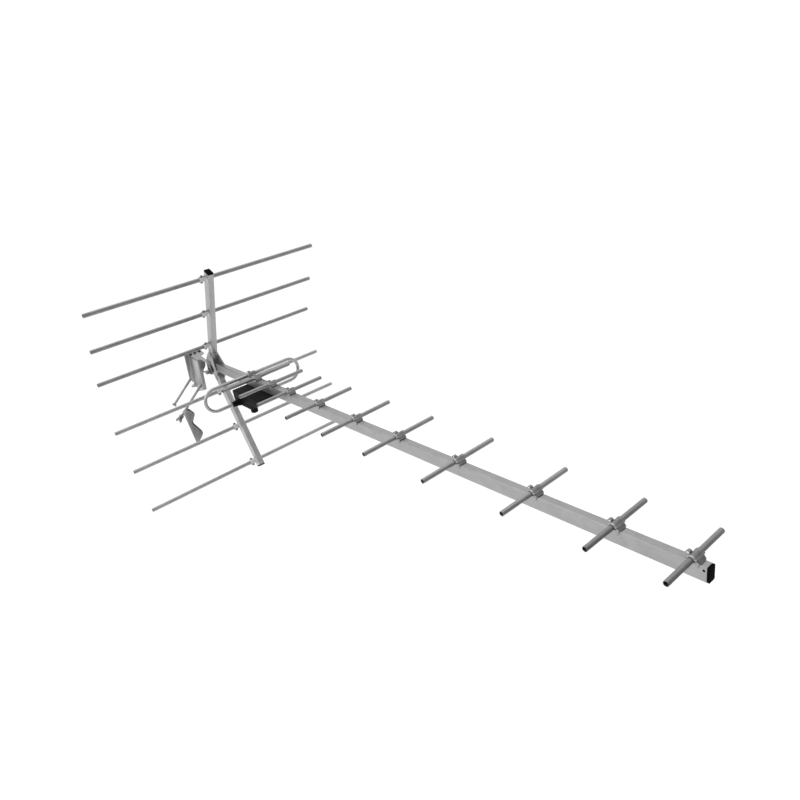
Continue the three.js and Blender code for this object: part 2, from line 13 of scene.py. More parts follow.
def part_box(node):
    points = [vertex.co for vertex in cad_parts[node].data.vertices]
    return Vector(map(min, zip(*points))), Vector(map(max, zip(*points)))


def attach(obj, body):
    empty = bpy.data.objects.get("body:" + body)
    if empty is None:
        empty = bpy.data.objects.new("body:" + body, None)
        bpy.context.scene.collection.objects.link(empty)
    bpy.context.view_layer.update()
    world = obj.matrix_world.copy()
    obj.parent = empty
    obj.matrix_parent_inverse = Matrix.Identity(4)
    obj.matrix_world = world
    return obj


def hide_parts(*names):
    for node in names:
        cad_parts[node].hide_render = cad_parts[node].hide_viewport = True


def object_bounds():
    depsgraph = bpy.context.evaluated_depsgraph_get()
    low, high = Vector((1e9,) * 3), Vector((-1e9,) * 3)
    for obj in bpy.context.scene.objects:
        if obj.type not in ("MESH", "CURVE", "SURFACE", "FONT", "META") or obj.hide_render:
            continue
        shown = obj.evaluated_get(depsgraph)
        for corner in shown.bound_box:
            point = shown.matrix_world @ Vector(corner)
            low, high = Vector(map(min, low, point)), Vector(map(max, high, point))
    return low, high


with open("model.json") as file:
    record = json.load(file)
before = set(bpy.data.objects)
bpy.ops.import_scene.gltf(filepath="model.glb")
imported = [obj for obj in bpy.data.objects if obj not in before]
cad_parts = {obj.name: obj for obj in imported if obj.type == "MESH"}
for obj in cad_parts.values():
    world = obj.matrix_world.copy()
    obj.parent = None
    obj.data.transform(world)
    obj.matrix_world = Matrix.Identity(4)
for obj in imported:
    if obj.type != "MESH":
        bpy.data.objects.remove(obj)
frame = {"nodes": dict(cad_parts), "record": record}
cad_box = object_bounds()
record = frame["record"]
scene = bpy.context.scene

MM = 0.001
BODY_OF = {n: body for body, nodes in record["behaviour"]["bodies"].items() for n in nodes}
SLOT_OF = {s["node"]: s["material_slot"] for s in record["subparts"]}

# ---- places and sizes ----
BOOM_LOW, BOOM_HIGH = (Vector(corner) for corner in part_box("boom"))
BOOM_START = 6
DATUM = Vector((BOOM_LOW.x - BOOM_START * MM, (BOOM_LOW.y + BOOM_HIGH.y) / 2,
                (BOOM_LOW.z + BOOM_HIGH.z) / 2))
BOOM_W = (BOOM_HIGH.y - BOOM_LOW.y) / MM
BOOM_H = (BOOM_HIGH.z - BOOM_LOW.z) / MM
BOOM_FRONT = (BOOM_HIGH.x - DATUM.x) / MM
TUBE_R = 4.0
ROD_R = 4.6
TUBE_WALL = 0.8
SHEET = 1.2
PROFILE_WALL = 1.2
GAP = 0.3
TAB = {"size": 2.4, "slot": 3.2, "behind_front": 3.6, "z": 5}
ARM_DEPTH = 20.0
ARM_WIDTH = 14.0
ARM_LEAN = math.radians(26)
ARM_APEX_X = -24.7
ARM_START = 22.0
ARM_END = 274.0
ROD_STATIONS = (259.2, 162.4, 65.7)
ROD_SETBACK = 4.0
ARM_PIVOT = 34.0
CHEEK_IN = 7.4
CHEEK_OUT = 9.4
BOLT_R = 3.5
BOLT_AXIS = Vector((0.05, -0.79, -0.61)).normalized()
X, Y, Z = Vector((1, 0, 0)), Vector((0, 1, 0)), Vector((0, 0, 1))


def at(x, y, z):
    """A point given in millimetres from the datum, in the row frame."""
    return DATUM + Vector((x, y, z)) * MM


def middle(node):
    """The middle of a CAD node's box, in millimetres from the datum."""
    low, high = (Vector(corner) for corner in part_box(node))
    return ((low + high) / 2 - DATUM) / MM


def span(node):
    """The sides of a CAD node's box, in millimetres."""
    low, high = (Vector(corner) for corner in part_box(node))
    return (high - low) / MM


def axes(x_axis, y_axis, z_axis, origin=Vector()):
    """A matrix that takes local axes to the given ones, with its origin in metres."""
    turn = Matrix((x_axis, y_axis, z_axis)).transposed().to_4x4()
    return Matrix.Translation(origin) @ turn


def aimed(z_axis, origin):
    """A matrix whose Z runs along z_axis from a point in the row frame."""
    z_axis = z_axis.normalized()
    x_axis = (X - z_axis * X.dot(z_axis)).normalized()
    return axes(x_axis, z_axis.cross(x_axis), z_axis, origin)


# ---- materials ----
class Nodes:
    """A small helper that adds and links shader nodes."""

    def __init__(self, name):
        self.material = bpy.data.materials.new(name)
        self.material.use_nodes = True
        self.tree = self.material.node_tree
        self.shader = self.tree.nodes["Principled BSDF"]

    def add(self, kind, values=None, **settings):
        node = self.tree.nodes.new(kind)
        for key, value in settings.items():
            setattr(node, key, value)
        for key, value in (values or {}).items():
            node.inputs[key].default_value = value
        return node

    def link(self, out, into):
        self.tree.links.new(out, into)
        return into

    def coords(self, stretch=(1, 1, 1)):
        """Object coordinates in millimetres, multiplied by stretch."""
        place = self.add("ShaderNodeTexCoord")
        mapping = self.add("ShaderNodeMapping")
        mapping.inputs["Scale"].default_value = [1000 * s for s in stretch]
        self.link(place.outputs["Object"], mapping.inputs["Vector"])
        return mapping.outputs["Vector"]

    def noise(self, vector, scale, detail=3.0, roughness=0.55):
        node = self.add("ShaderNodeTexNoise", {"Scale": scale, "Detail": detail, "Roughness": roughness})
        self.link(vector, node.inputs["Vector"])
        return node.outputs["Fac"]

    def ramp(self, value, stops):
        node = self.add("ShaderNodeValToRGB")
        elements = node.color_ramp.elements
        while len(elements) < len(stops):
            elements.new(0.5)
        for element, (position, shade) in zip(elements, stops):
            element.position = position
            element.color = (*shade, 1) if isinstance(shade, tuple) else (shade, shade, shade, 1)
        self.link(value, node.inputs["Fac"])
        return node.outputs["Color"]

    def mix(self, factor, a, b, mode="MIX"):
        node = self.add("ShaderNodeMix", data_type="RGBA", blend_type=mode)
        for socket, value in ((node.inputs[0], factor), (node.inputs[6], a), (node.inputs[7], b)):
            if isinstance(value, bpy.types.NodeSocket):
                self.link(value, socket)
            elif isinstance(value, (int, float)) and socket.type == "RGBA":
                socket.default_value = (value, value, value, 1)
            else:
                socket.default_value = value
        return node.outputs[2]

    def bump(self, height, strength, distance_mm):
        node = self.add("ShaderNodeBump", {"Strength": strength, "Distance": distance_mm * MM})
        self.link(height, node.inputs["Height"])
        self.link(node.outputs["Normal"], self.shader.inputs["Normal"])
        return node

    def pointiness(self, low, high):
        """White on convex edges, for wear."""
        geometry = self.add("ShaderNodeNewGeometry")
        return self.ramp(geometry.outputs["Pointiness"], [(low, 0.0), (high, 1.0)])


def grey(value):
    return (value, value, value)


def metal(name, dark, light, rough, lines=(1, 1, 0.02), line_scale=2.2, metallic=1.0, blotch=0.06,
          worn=None):
    """Metal between two greys: fine lines along local Z, soft cloudy patches and a few scuffs."""
    dark, light = grey(dark), grey(light)
    n = Nodes(name)
    fine = n.noise(n.coords(lines), line_scale, 4.0, 0.6)
    cloud = n.noise(n.coords(), blotch, 4.0, 0.6)
    speck = n.noise(n.coords((1, 1, 0.5)), 1.3, 2.0, 0.7)
    tint = n.ramp(cloud, [(0.3, dark), (0.7, light)])
    lined = n.mix(0.25, tint, n.ramp(fine, [(0.3, 0.25), (0.7, 0.95)]), "SOFT_LIGHT")
    scuffed = n.mix(n.ramp(speck, [(0.68, 0.0), (0.8, 0.35)]), lined, tuple(0.6 * c for c in dark) + (1,))
    if worn is not None:
        scuffed = n.mix(n.pointiness(0.53, 0.6), scuffed, (*grey(worn), 1))
    n.link(scuffed, n.shader.inputs["Base Color"])
    spread = n.add("ShaderNodeMapRange", {"From Min": 0.3, "From Max": 0.7,
                                          "To Min": rough - 0.07, "To Max": rough + 0.09})
    n.link(n.mix(0.5, fine, cloud), spread.inputs["Value"])
    n.link(spread.outputs["Result"], n.shader.inputs["Roughness"])
    n.shader.inputs["Metallic"].default_value = metallic
    n.bump(n.mix(0.4, fine, speck), 0.25, 0.05)
    return n.material


def plastic(name, dark, light, rough, gloss=0.12):
    """Moulded plastic: a fine eroded grain, faint flow patches and lighter rubbed edges."""
    n = Nodes(name)
    grain = n.noise(n.coords(), 3.0, 3.0, 0.7)
    flow = n.noise(n.coords((1, 1, 0.4)), 0.05, 3.0, 0.5)
    tint = n.ramp(flow, [(0.3, dark), (0.7, light)])
    rubbed = n.mix(n.pointiness(0.52, 0.62), tint, tuple(1.5 * c for c in light) + (1,))
    n.link(rubbed, n.shader.inputs["Base Color"])
    spread = n.add("ShaderNodeMapRange", {"From Min": 0.3, "From Max": 0.7,
                                          "To Min": rough - 0.08, "To Max": rough + 0.1})
    n.link(grain, spread.inputs["Value"])
    n.link(spread.outputs["Result"], n.shader.inputs["Roughness"])
    n.shader.inputs["Specular IOR Level"].default_value = gloss
    n.bump(grain, 0.35, 0.12)
    return n.material


BOOM_METAL = metal("boom_aluminium", 0.31, 0.37, 0.42)
# A darker copy of the boom's metal for its upward faces: painted shade.
BOOM_TOP_SHADE_METAL = metal("boom_top_painted_shade", 0.245, 0.295, 0.45)
ARM_METAL = metal("arm_aluminium", 0.37, 0.43, 0.42)
# A lighter copy of the arm's metal for the lower arm: painted light.
LIT_LOW_ARM_METAL = metal("low_arm_painted_light", 0.43, 0.50, 0.45)
TUBE_METAL = metal("tube_aluminium", 0.17, 0.23, 0.42, line_scale=3.0)
ROD_METAL = metal("rod_aluminium", 0.23, 0.30, 0.42, line_scale=3.0)
# A lighter copy of the rods' metal for the lower rods: painted light from the floor's bounce.
LIT_LOW_ROD_METAL = metal("low_rod_painted_light", 0.32, 0.40, 0.42, line_scale=3.0)
DIPOLE_METAL = metal("dipole_aluminium", 0.33, 0.42, 0.38, lines=(1, 0.03, 0.3), line_scale=2.5)
CLIP_METAL = metal("clip_stamping", 0.16, 0.21, 0.46, lines=(1, 0.06, 1), worn=0.34)
ZINC = metal("zinc_plate", 0.23, 0.31, 0.42, lines=(0.7, 0.7, 0.4), line_scale=0.5, blotch=0.12, worn=0.45)
HUB_METAL = metal("hub_zinc", 0.30, 0.40, 0.5, lines=(0.7, 0.7, 0.4), line_scale=0.5,
                  blotch=0.12, metallic=0.5, worn=0.5)
DARK_ZINC = metal("dulled_zinc", 0.12, 0.18, 0.45, lines=(1, 1, 1), line_scale=0.8, worn=0.3)
# A near-black metal, used only for thin sheets and domes that paint shade on the hub and the bracket.
SHADE_PAINT_STEEL = metal("painted_shade_steel", 0.03, 0.06, 0.5, lines=(1, 1, 1), line_scale=0.8)
# A bright metal for the rod clips' straps and sleeves: a painted highlight.
HIGHLIGHT_STRAP_METAL = metal("strap_painted_highlight", 0.50, 0.60, 0.5, lines=(1, 0.06, 1), metallic=0.3)
# The ear plates' own metal; it also serves as a painted highlight on the saddles' near edges.
EAR_PLATE_AND_HIGHLIGHT_METAL = metal("ear_plate_and_painted_highlight", 0.30, 0.38, 0.5, lines=(1, 0.06, 1), worn=0.5)
BOLT_METAL = metal("bolt_zinc", 0.27, 0.36, 0.36, lines=(1, 1, 1), line_scale=1.0)
NICKEL = metal("nickel_plate", 0.50, 0.62, 0.22, lines=(1, 1, 1), line_scale=1.0)
BLACK = plastic("black_plastic", grey(0.003), grey(0.006), 0.55, gloss=0.06)
BLACK_CAP = plastic("cap_plastic", grey(0.002), grey(0.004), 0.7, gloss=0.02)
BOARD = plastic("circuit_board", (0.02, 0.07, 0.02), (0.03, 0.10, 0.03), 0.4)
MATERIAL_OF = {
    "aluminium_extrusion": BOOM_METAL, "element_tube": TUBE_METAL, "clip_stamping": CLIP_METAL,
    "zinc_steel": ZINC, "plated_connector": NICKEL, "black_plastic": BLACK, "circuit_board": BOARD,
}


# ---- shapes ----
def baked(obj):
    """The object's mesh with its modifiers or curve settings applied, and the object removed."""
    bpy.context.view_layer.update()
    graph = bpy.context.evaluated_depsgraph_get()
    mesh = bpy.data.meshes.new_from_object(obj.evaluated_get(graph))
    bpy.data.objects.remove(obj)
    return mesh


def circle(radius, cx=0.0, cy=0.0, steps=48, start=0.0, turn=2 * math.pi):
    full = abs(turn) > 6.28
    count = steps if full else steps + 1
    angles = [start + turn * i / steps for i in range(count)]
    return [(cx + radius * math.cos(a), cy + radius * math.sin(a)) for a in angles]


def rounded(width, height, radius, steps=6):
    """The outline of a rectangle with round corners."""
    points = []
    for sx, sy, start in ((1, 1, 0), (-1, 1, 90), (-1, -1, 180), (1, -1, 270)):
        corner = (sx * (width / 2 - radius), sy * (height / 2 - radius))
        points += circle(radius, *corner, steps, math.radians(start), math.pi / 2)
    return points


def softened(points, radius, steps=4):
    """An outline with its corners rounded to about the given radius."""
    result = []
    count = len(points)
    for i in range(count):
        before, here, after = (Vector(points[j % count]) for j in (i - 1, i, i + 1))
        reach = min(radius, (before - here).length * 0.45, (after - here).length * 0.45)
        a = here + (before - here).normalized() * reach
        b = here + (after - here).normalized() * reach
        for k in range(steps + 1):
            t = k / steps
            result.append(tuple(a * (1 - t) ** 2 + here * 2 * t * (1 - t) + b * t ** 2))
    return result


def hull(discs):
    """The outline of a plate stretched over discs, each (x, y, radius)."""
    points = sorted({(round(p[0], 5), round(p[1], 5)) for x, y, r in discs for p in circle(r, x, y)})

    def half(sequence):
        chain = []
        for p in sequence:
            while len(chain) > 1:
                (ax, ay), (bx, by) = chain[-2:]
                if (bx - ax) * (p[1] - ay) - (by - ay) * (p[0] - ax) > 1e-9:
                    break
                chain.pop()
            chain.append(p)
        return chain[:-1]
    return half(points) + half(reversed(points))


def plate(outline, thickness, holes=(), edge=0.25, edge_steps=2):
    """A flat plate in local XY, centred on Z, with rounded edges: outlines in millimetres."""
    curve = bpy.data.curves.new("outline", "CURVE")
    curve.dimensions = "2D"
    curve.fill_mode = "BOTH"
    curve.extrude = (thickness / 2 - edge) * MM
    curve.bevel_depth = edge * MM
    curve.bevel_resolution = edge_steps
    curve.offset = -edge * MM
    for ring in (outline, *holes):
        spline = curve.splines.new("POLY")
        spline.points.add(len(ring) - 1)
        for point, (x, y) in zip(spline.points, ring):
            point.co = (x * MM, y * MM, 0, 1)
        spline.use_cyclic_u = True
    obj = bpy.data.objects.new("outline", curve)
    scene.collection.objects.link(obj)
    mesh = baked(obj)
    bpy.data.curves.remove(curve)
    return mesh


def cutter(outline, depth):
    """A sharp-edged plate that only cuts other shapes."""
    return plate(outline, depth, (), 0.01, 0)


def lathe(profile, steps=40, closed=False):
    """A solid of revolution about local Z from (radius, height) points, in millimetres."""
    bm = bmesh.new()
    rings = []
    for radius, height in profile:
        if radius < 1e-6:
            rings.append([bm.verts.new((0, 0, height * MM))])
        else:
            rings.append([bm.verts.new((x * MM, y * MM, height * MM))
                          for x, y in circle(radius, steps=steps)])
    pairs = list(zip(rings, rings[1:])) + ([(rings[-1], rings[0])] if closed else [])
    for low, high in pairs:
        for i in range(steps):
            j = (i + 1) % steps
            corners = [low[i % len(low)], low[j % len(low)], high[j % len(high)], high[i % len(high)]]
            unique = list(dict.fromkeys(corners))
            if len(unique) > 2:
                bm.faces.new(unique)
    bmesh.ops.recalc_face_normals(bm, faces=bm.faces)
    return finished(bm)


def finished(bm):
    mesh = bpy.data.meshes.new("shape")
    bm.to_mesh(mesh)
    bm.free()
    return mesh


def threaded(radius, length, pitch=1.25, depth=0.42, steps=28, plain=0.0):
    """A threaded rod along local Z from zero, its first stretch plain, with chamfered ends."""
    bm = bmesh.new()
    per_turn = 4
    count = int(length / pitch * per_turn)
    rings = []
    for k in range(count + 1):
        z = length * k / count
        ring = []
        for i in range(steps):
            angle = 2 * math.pi * i / steps
            phase = (z / pitch - i / steps) % 1.0
            groove = 0.0 if z < plain else depth * (1 - abs(2 * phase - 1))
            chamfer = max(0.0, 0.8 - min(z, length - z))
            r = radius - max(groove, chamfer)
            ring.append(bm.verts.new((r * math.cos(angle) * MM, r * math.sin(angle) * MM, z * MM)))
        rings.append(ring)
    for low, high in zip(rings, rings[1:]):
        for i in range(steps):
            j = (i + 1) % steps
            bm.faces.new((low[i], low[j], high[j], high[i]))
    bm.faces.new(list(reversed(rings[0])))
    bm.faces.new(rings[-1])
    return finished(bm)


def joined(*parts):
    """One mesh from (mesh, matrix) pairs; the matrices' origins are in metres."""
    bm = bmesh.new()
    for mesh, matrix in parts:
        copy = mesh.copy()
        copy.transform(matrix)
        bm.from_mesh(copy)
        bpy.data.meshes.remove(copy)
    return finished(bm)


def modified(mesh, *settings):
    """The mesh after modifiers, each (kind, {setting: value})."""
    obj = bpy.data.objects.new("shaping", mesh)
    scene.collection.objects.link(obj)
    for kind, values in settings:
        modifier = obj.modifiers.new(kind.lower(), kind)
        for key, value in values.items():
            setattr(modifier, key, value)
    return baked(obj)


def bevelled(mesh, width, segments=2, angle=40):
    return modified(mesh, ("BEVEL", {"width": width * MM, "segments": segments, "limit_method": "ANGLE",
                                     "angle_limit": math.radians(angle), "use_clamp_overlap": True}))


def carved(mesh, *cutters, operation="DIFFERENCE"):
    """The mesh cut by (mesh, matrix) pairs, one after another."""
    obj = bpy.data.objects.new("carving", mesh)
    scene.collection.objects.link(obj)
    tools = []
    for cutter, matrix in cutters:
        tool = bpy.data.objects.new("cutter", cutter)
        scene.collection.objects.link(tool)
        tool.matrix_world = matrix
        modifier = obj.modifiers.new("cut", "BOOLEAN")
        modifier.operation = operation
        modifier.solver = "EXACT"
        modifier.object = tool
        tools.append(tool)
    mesh = baked(obj)
    for tool in tools:
        bpy.data.objects.remove(tool)
    return mesh


def moved(x=0.0, y=0.0, z=0.0):
    return Matrix.Translation(Vector((x, y, z)) * MM)


# Local X-Y drawings stood up: drawn across X and up Z, their thickness along Y.
STOOD = axes(X, Z, -Y)
# Local Z laid along the boom, and along the elements.
ALONG_X = axes(Y, Z, X)
ALONG_Y = axes(Z, X, Y)
# From millimetre drawings around the datum to the frame.
HOME = Matrix.Translation(DATUM)
SHARP = math.radians(38)


def shown(name, mesh, matrix, material):
    """An object in one material, shaded smooth except over its sharp edges."""
    obj = bpy.data.objects.new(name, mesh)
    scene.collection.objects.link(obj)
    mesh.materials.clear()
    mesh.materials.append(material)
    mesh.shade_smooth()
    mesh.set_sharp_from_angle(angle=SHARP)
    obj.matrix_world = matrix
    return obj


def piece(node, mesh, matrix, material=None):
    """A visual piece that rides on its CAD node's body and replaces the node."""
    obj = shown(f"{node}_fine", mesh, matrix, material or MATERIAL_OF[SLOT_OF[node]])
    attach(obj, BODY_OF[node])
    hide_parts(node)
    return obj


def second_metal(obj, material, covers):
    """Gives a second metal to the faces that covers(centre in millimetres, normal) picks."""
    obj.data.materials.append(material)
    for polygon in obj.data.polygons:
        polygon.material_index = int(covers(polygon.center / MM, polygon.normal))


def extra(name, mesh, matrix, body, material):
    """A small visual piece that no CAD node stands for."""
    obj = shown(name, mesh, matrix, material)
    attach(obj, body)


# ---- boom ----
def profile_tube(width, height, length):
    """A rectangular tube along local Z, centred on its origin."""
    inside = rounded(width - 2 * PROFILE_WALL, height - 2 * PROFILE_WALL, 0.5, 3)
    return plate(rounded(width, height, 1.3), length, [inside], 0.15, 1)


def end_plug(width, height):
    """The (mesh, matrix) pairs of a plug whose face lies on a tube's end and whose tongue fills it."""
    face = plate(rounded(width, height, 1.6), 3.0, (), 0.6, 3)
    tongue = plate(rounded(width - 3, height - 3, 0.8), 9, (), 0.3, 1)
    return (face, moved(0, 0, 1.8)), (tongue, moved(0, 0, -3.5))


def make_boom():
    length = BOOM_FRONT - BOOM_START
    middle_x = BOOM_START + length / 2
    # In the boom's own frame, Z runs along it, X across and Y up.
    tab_front = BOOM_FRONT - middle_x - TAB["behind_front"]
    slot = plate(rounded(TAB["slot"], TAB["slot"], 0.5, 3), BOOM_W, (), 0.1, 1)
    slot_at = moved(-BOOM_W / 2, TAB["z"], tab_front) @ axes(-Z, Y, X)
    tube = carved(profile_tube(BOOM_W, BOOM_H, length), (slot, slot_at))
    boom = piece("boom", tube, axes(Y, Z, X, at(middle_x, 0, 0)))
    # The boom's upward faces get the darker copy, a painted shade.
    second_metal(boom, BOOM_TOP_SHADE_METAL, lambda centre, normal: normal.y > 0.3)

    tab = plate(rounded(TAB["size"], TAB["size"], 0.4, 3), 7.2, (), 0.3, 2)
    tab_at = moved(-3.4, TAB["z"], -TAB["behind_front"]) @ axes(-Z, Y, X)
    cap = joined(*end_plug(BOOM_W, BOOM_H), (tab, tab_at))
    piece("boom_cap_front", cap, axes(Y, Z, X, at(BOOM_FRONT, 0, 0)), BLACK_CAP)


# ---- round elements ----
def element(node, radius, material):
    """An open tube along Y in the place of a director or a reflector rod."""
    tube = plate(circle(radius), span(node).y, [circle(radius - TUBE_WALL)], 0.2, 2)
    piece(node, tube, axes(Z, X, Y, at(*middle(node))), material)


BEND_SQUASH = 0.95


def make_dipole():
    """One tube bent into a flat loop, a little squashed in its bends, its lower side open inside the box."""
    centre = middle("folded_dipole")
    size = span("folded_dipole")
    bend_r = size.z / 2 - TUBE_R
    straight = size.y / 2 - TUBE_R - bend_r
    gap = 8.0
    steps = 28
    path = [(gap, -bend_r, 0.0), (straight * 0.5, -bend_r, 0.0)]
    for i in range(steps + 1):
        a = -math.pi / 2 + math.pi * i / steps
        path.append((straight + bend_r * math.cos(a), bend_r * math.sin(a), a + math.pi / 2))
    path.append((0.0, bend_r, math.pi))
    for i in range(steps + 1):
        a = math.pi / 2 + math.pi * i / steps
        path.append((-straight + bend_r * math.cos(a), bend_r * math.sin(a), a + math.pi / 2))
    path += [(-straight * 0.5, -bend_r, 2 * math.pi), (-gap, -bend_r, 2 * math.pi)]

    bm = bmesh.new()
    sides = 40
    rings = []
    for y, z, heading in path:
        bend = abs(y) > straight + 1
        ring = []
        for i in range(sides):
            turn = 2 * math.pi * i / sides
            across = TUBE_R * (BEND_SQUASH if bend else 1.0) * math.cos(turn)
            place = (TUBE_R * math.sin(turn), y - across * math.sin(heading), z + across * math.cos(heading))
            ring.append(bm.verts.new(Vector(place) * MM))
        rings.append(ring)
    for a, b in zip(rings, rings[1:]):
        for i in range(sides):
            j = (i + 1) % sides
            bm.faces.new((a[i], a[j], b[j], b[i]))
    bm.faces.new(list(reversed(rings[0])))
    bm.faces.new(rings[-1])
    bmesh.ops.recalc_face_normals(bm, faces=bm.faces)
    piece("folded_dipole", finished(bm), Matrix.Translation(at(*centre)), DIPOLE_METAL)


# ---- stamped saddles ----
def sheet_grid(profile, columns, present, narrow):
    """A bent sheet: rows follow a profile of (x, z), columns lie across Y. present(row, column)
    says which cells are metal, and narrow(row, y) shifts a column in that row."""
    bm = bmesh.new()
    grid = [[bm.verts.new(Vector((x, narrow(r, y), z)) * MM) for y in columns]
            for r, (x, z) in enumerate(profile)]
    for r in range(len(profile) - 1):
        for c in range(len(columns) - 1):
            if present(r, c):
                bm.faces.new((grid[r][c], grid[r][c + 1], grid[r + 1][c + 1], grid[r + 1][c]))
    loose = [v for v in bm.verts if not v.link_faces]
    bmesh.ops.delete(bm, geom=loose, context="VERTS")
    bmesh.ops.recalc_face_normals(bm, faces=bm.faces)
    return finished(bm)


def thickened(mesh):
    """A bent sheet's solid, with its edges rounded."""
    return modified(mesh,
                    ("SOLIDIFY", {"thickness": SHEET * MM, "offset": 0.0, "use_even_offset": True}),
                    ("BEVEL", {"width": 0.28 * MM, "segments": 2, "limit_method": "ANGLE",
                               "angle_limit": math.radians(50)}),
                    ("SUBSURF", {"levels": 1, "render_levels": 1, "subdivision_type": "SIMPLE"}))


def ribbon(path, width, thickness=SHEET, edge=0.3):
    """A strip bent along a path in X-Z, its width along Y."""
    normals = []
    for i in range(len(path)):
        a = Vector(path[max(i - 1, 0)])
        b = Vector(path[min(i + 1, len(path) - 1)])
        along = (b - a).normalized()
        normals.append(Vector((-along.y, along.x)))
    upper = [tuple(Vector(p) + n * thickness / 2) for p, n in zip(path, normals)]
    lower = [tuple(Vector(p) - n * thickness / 2) for p, n in zip(path, normals)]
    return plate(upper + lower[::-1], width, (), edge, 2)


SADDLE_HALF = 11
CURL_R = 2.9
RIB_Y = 8.6


def arc(radius, cx, cy, start, stop, step):
    """Points on an arc, its angles given in degrees as for range()."""
    angles = [math.radians(degrees) for degrees in range(start, stop, step)]
    return [(cx + radius * math.cos(a), cy + radius * math.sin(a)) for a in angles]


def saddle(deck):
    """A saddle over a tube at the origin that lies along Y. The boom's top is at height deck."""
    ring = TUBE_R + GAP + SHEET / 2
    half = BOOM_W / 2 + GAP + SHEET / 2
    edge = SADDLE_HALF - GAP
    front = [(10.7, deck + 0.9), (9.9, deck + 1.5), (8.4, deck + 3.2), (6.9, deck + 5.2)]
    rear = [(-5.2, -1.8), (-5.6, deck + 0.9)]
    profile = front + arc(ring, 0, 0, 30, 181, 15) + rear
    columns = [-edge, -edge + 1.2, -half, -4.2, -1.4, 1.4, 4.2, half, edge - 1.2, edge]

    def present(r, c):
        return 2 <= c <= len(columns) - 4 or r >= len(front) - 1

    def narrow(r, y):
        if r < 2:
            return y * (0.84 if r == 0 else 0.94)
        return y * (0.94 if r == len(profile) - 1 else 1.0)

    body = thickened(sheet_grid(profile, columns, present, narrow))
    leg = hull([(5.9, deck + 2.4, 1.1), (8.4, deck + 1.8, 1.0), (6.4, deck - 3.6, 2.1)])
    leg = plate(leg, SHEET, (), 0.35, 2)
    curl = ribbon(arc(CURL_R, -ring - 2.0, 3.3, -40, 171, 15), 6.0, 1.0)
    boss = lathe([(0, 1.1), (0.8, 1.0), (1.5, 0.6), (2.0, 0.0), (2.2, -0.8), (0, -0.8)], 24)
    rib = ribbon(arc(ring * 1.06, 0, 0, 20, 171, 10), 1.6, 1.0, 0.4)
    return joined((body, Matrix()), (curl, moved(0, -1.5, 0) @ STOOD), (boss, moved(0.5, 3.0, ring + 0.5)),
                  (leg, moved(0, -half, 0) @ STOOD), (leg, moved(0, half, 0) @ STOOD),
                  (rib, moved(0, -RIB_Y, 0) @ STOOD), (rib, moved(0, RIB_Y, 0) @ STOOD))


def on_painted_highlight(centre, normal):
    """Whether a saddle's face lies on the rolled edge or the leg of its -Y side, where a highlight is
    painted.
    """
    return centre.y < -7.9 or (centre.y < -6.5 and centre.z < -5)


def place_saddle(node, mesh, x, y, z):
    """Puts a saddle's tube centre at a point in millimetres, with a highlight painted on its near edge."""
    clip = piece(node, mesh, Matrix.Translation(at(x, y, z)))
    # The near edge and leg get the brighter metal: a painted highlight.
    second_metal(clip, EAR_PLATE_AND_HIGHLIGHT_METAL, on_painted_highlight)


# Directors before this one get the lighter rod metal, a painted light; from this one on they keep the darker
# tube metal.
FIRST_DARK_TUBE_DIRECTOR = 9


def make_directors():
    number = 1
    shape = None
    while f"director_{number}" in frame["nodes"]:
        node = f"director_{number}"
        # The rear directors get the lighter metal: painted light.
        element(node, TUBE_R, TUBE_METAL if number >= FIRST_DARK_TUBE_DIRECTOR else ROD_METAL)
        place = middle(node)
        if shape is None:
            shape = saddle(BOOM_H / 2 - place.z)
        place_saddle(f"director_clip_{number}", shape.copy(), *place)
        number += 1


def make_dipole_clip():
    """The dipole's saddle stands on a pad, because the loop's upper side is higher than a director."""
    dipole = middle("folded_dipole")
    tube_z = dipole.z + span("folded_dipole").z / 2 - TUBE_R
    deck = BOOM_H / 2 - tube_z
    pad = plate(rounded(18.5, 12, 1.5), 2.2, (), 0.4, 2)
    shape = joined((saddle(deck), Matrix()), (pad, moved(1.2, 0, deck + 1.5)))
    place_saddle("dipole_clip", shape, dipole.x, 0, tube_z)


# ---- junction box ----
# Along X: rear and front. Across Y: near and far, from the boom's middle. Up Z: the rest.
BOX = {"rear": 148, "front": 267, "near": 43, "far": 34, "top": -11.4, "brow": -20, "split": -34, "wall": 2}
LID = {"front": 237, "floor_front": 222, "bottom": -43}
INLET = (213, -31)
LID_SCREW = (206, 24)
POSTS = [(x, y) for x in (185, 226) for y in (-28, 26)]
BOARD_X = 195
TERMINAL_Y = 15
SEAM = 0.15


def box_side(inset):
    """The base's outline in X-Z. Drawn in, it reaches below the seam, to open the base's bottom."""
    low = BOX["split"] + SEAM if inset == 0 else BOX["split"] - 3
    return [(BOX["rear"] + inset, BOX["top"] - inset), (BOX["rear"] + inset, low),
            (LID["front"] - inset, low), (LID["front"] - inset, BOX["split"]),
            (BOX["front"] - inset, BOX["brow"] + inset / 2), (BOX["front"] - inset, BOX["top"] - inset)]


def lid_side(inset):
    """The lid's outline in X-Z. Drawn in, it reaches above the seam, to open the lid's top."""
    top = BOX["split"] - SEAM if inset == 0 else BOX["split"] + 1
    return [(BOX["rear"] + inset, top), (BOX["rear"] + 3 + inset, LID["bottom"] + inset * 0.9),
            (LID["floor_front"] - inset, LID["bottom"] + inset * 0.9), (LID["front"] - inset * 1.4, top)]


def box_shell(side_of, edge, bore):
    """A box half from its outlines: side_of(inset) gives the outer one at 0 and the inner one."""
    width = BOX["near"] + BOX["far"]
    wall = BOX["wall"]
    across = moved(0, (BOX["far"] - BOX["near"]) / 2, 0) @ STOOD
    outer = plate(softened(side_of(0), 2.0), width, (), edge, 3)
    outer.transform(across)
    inner = plate(softened(side_of(wall), 1.0), width - 2 * wall, (), 0.4, 1)
    return outer, (inner, across), bore


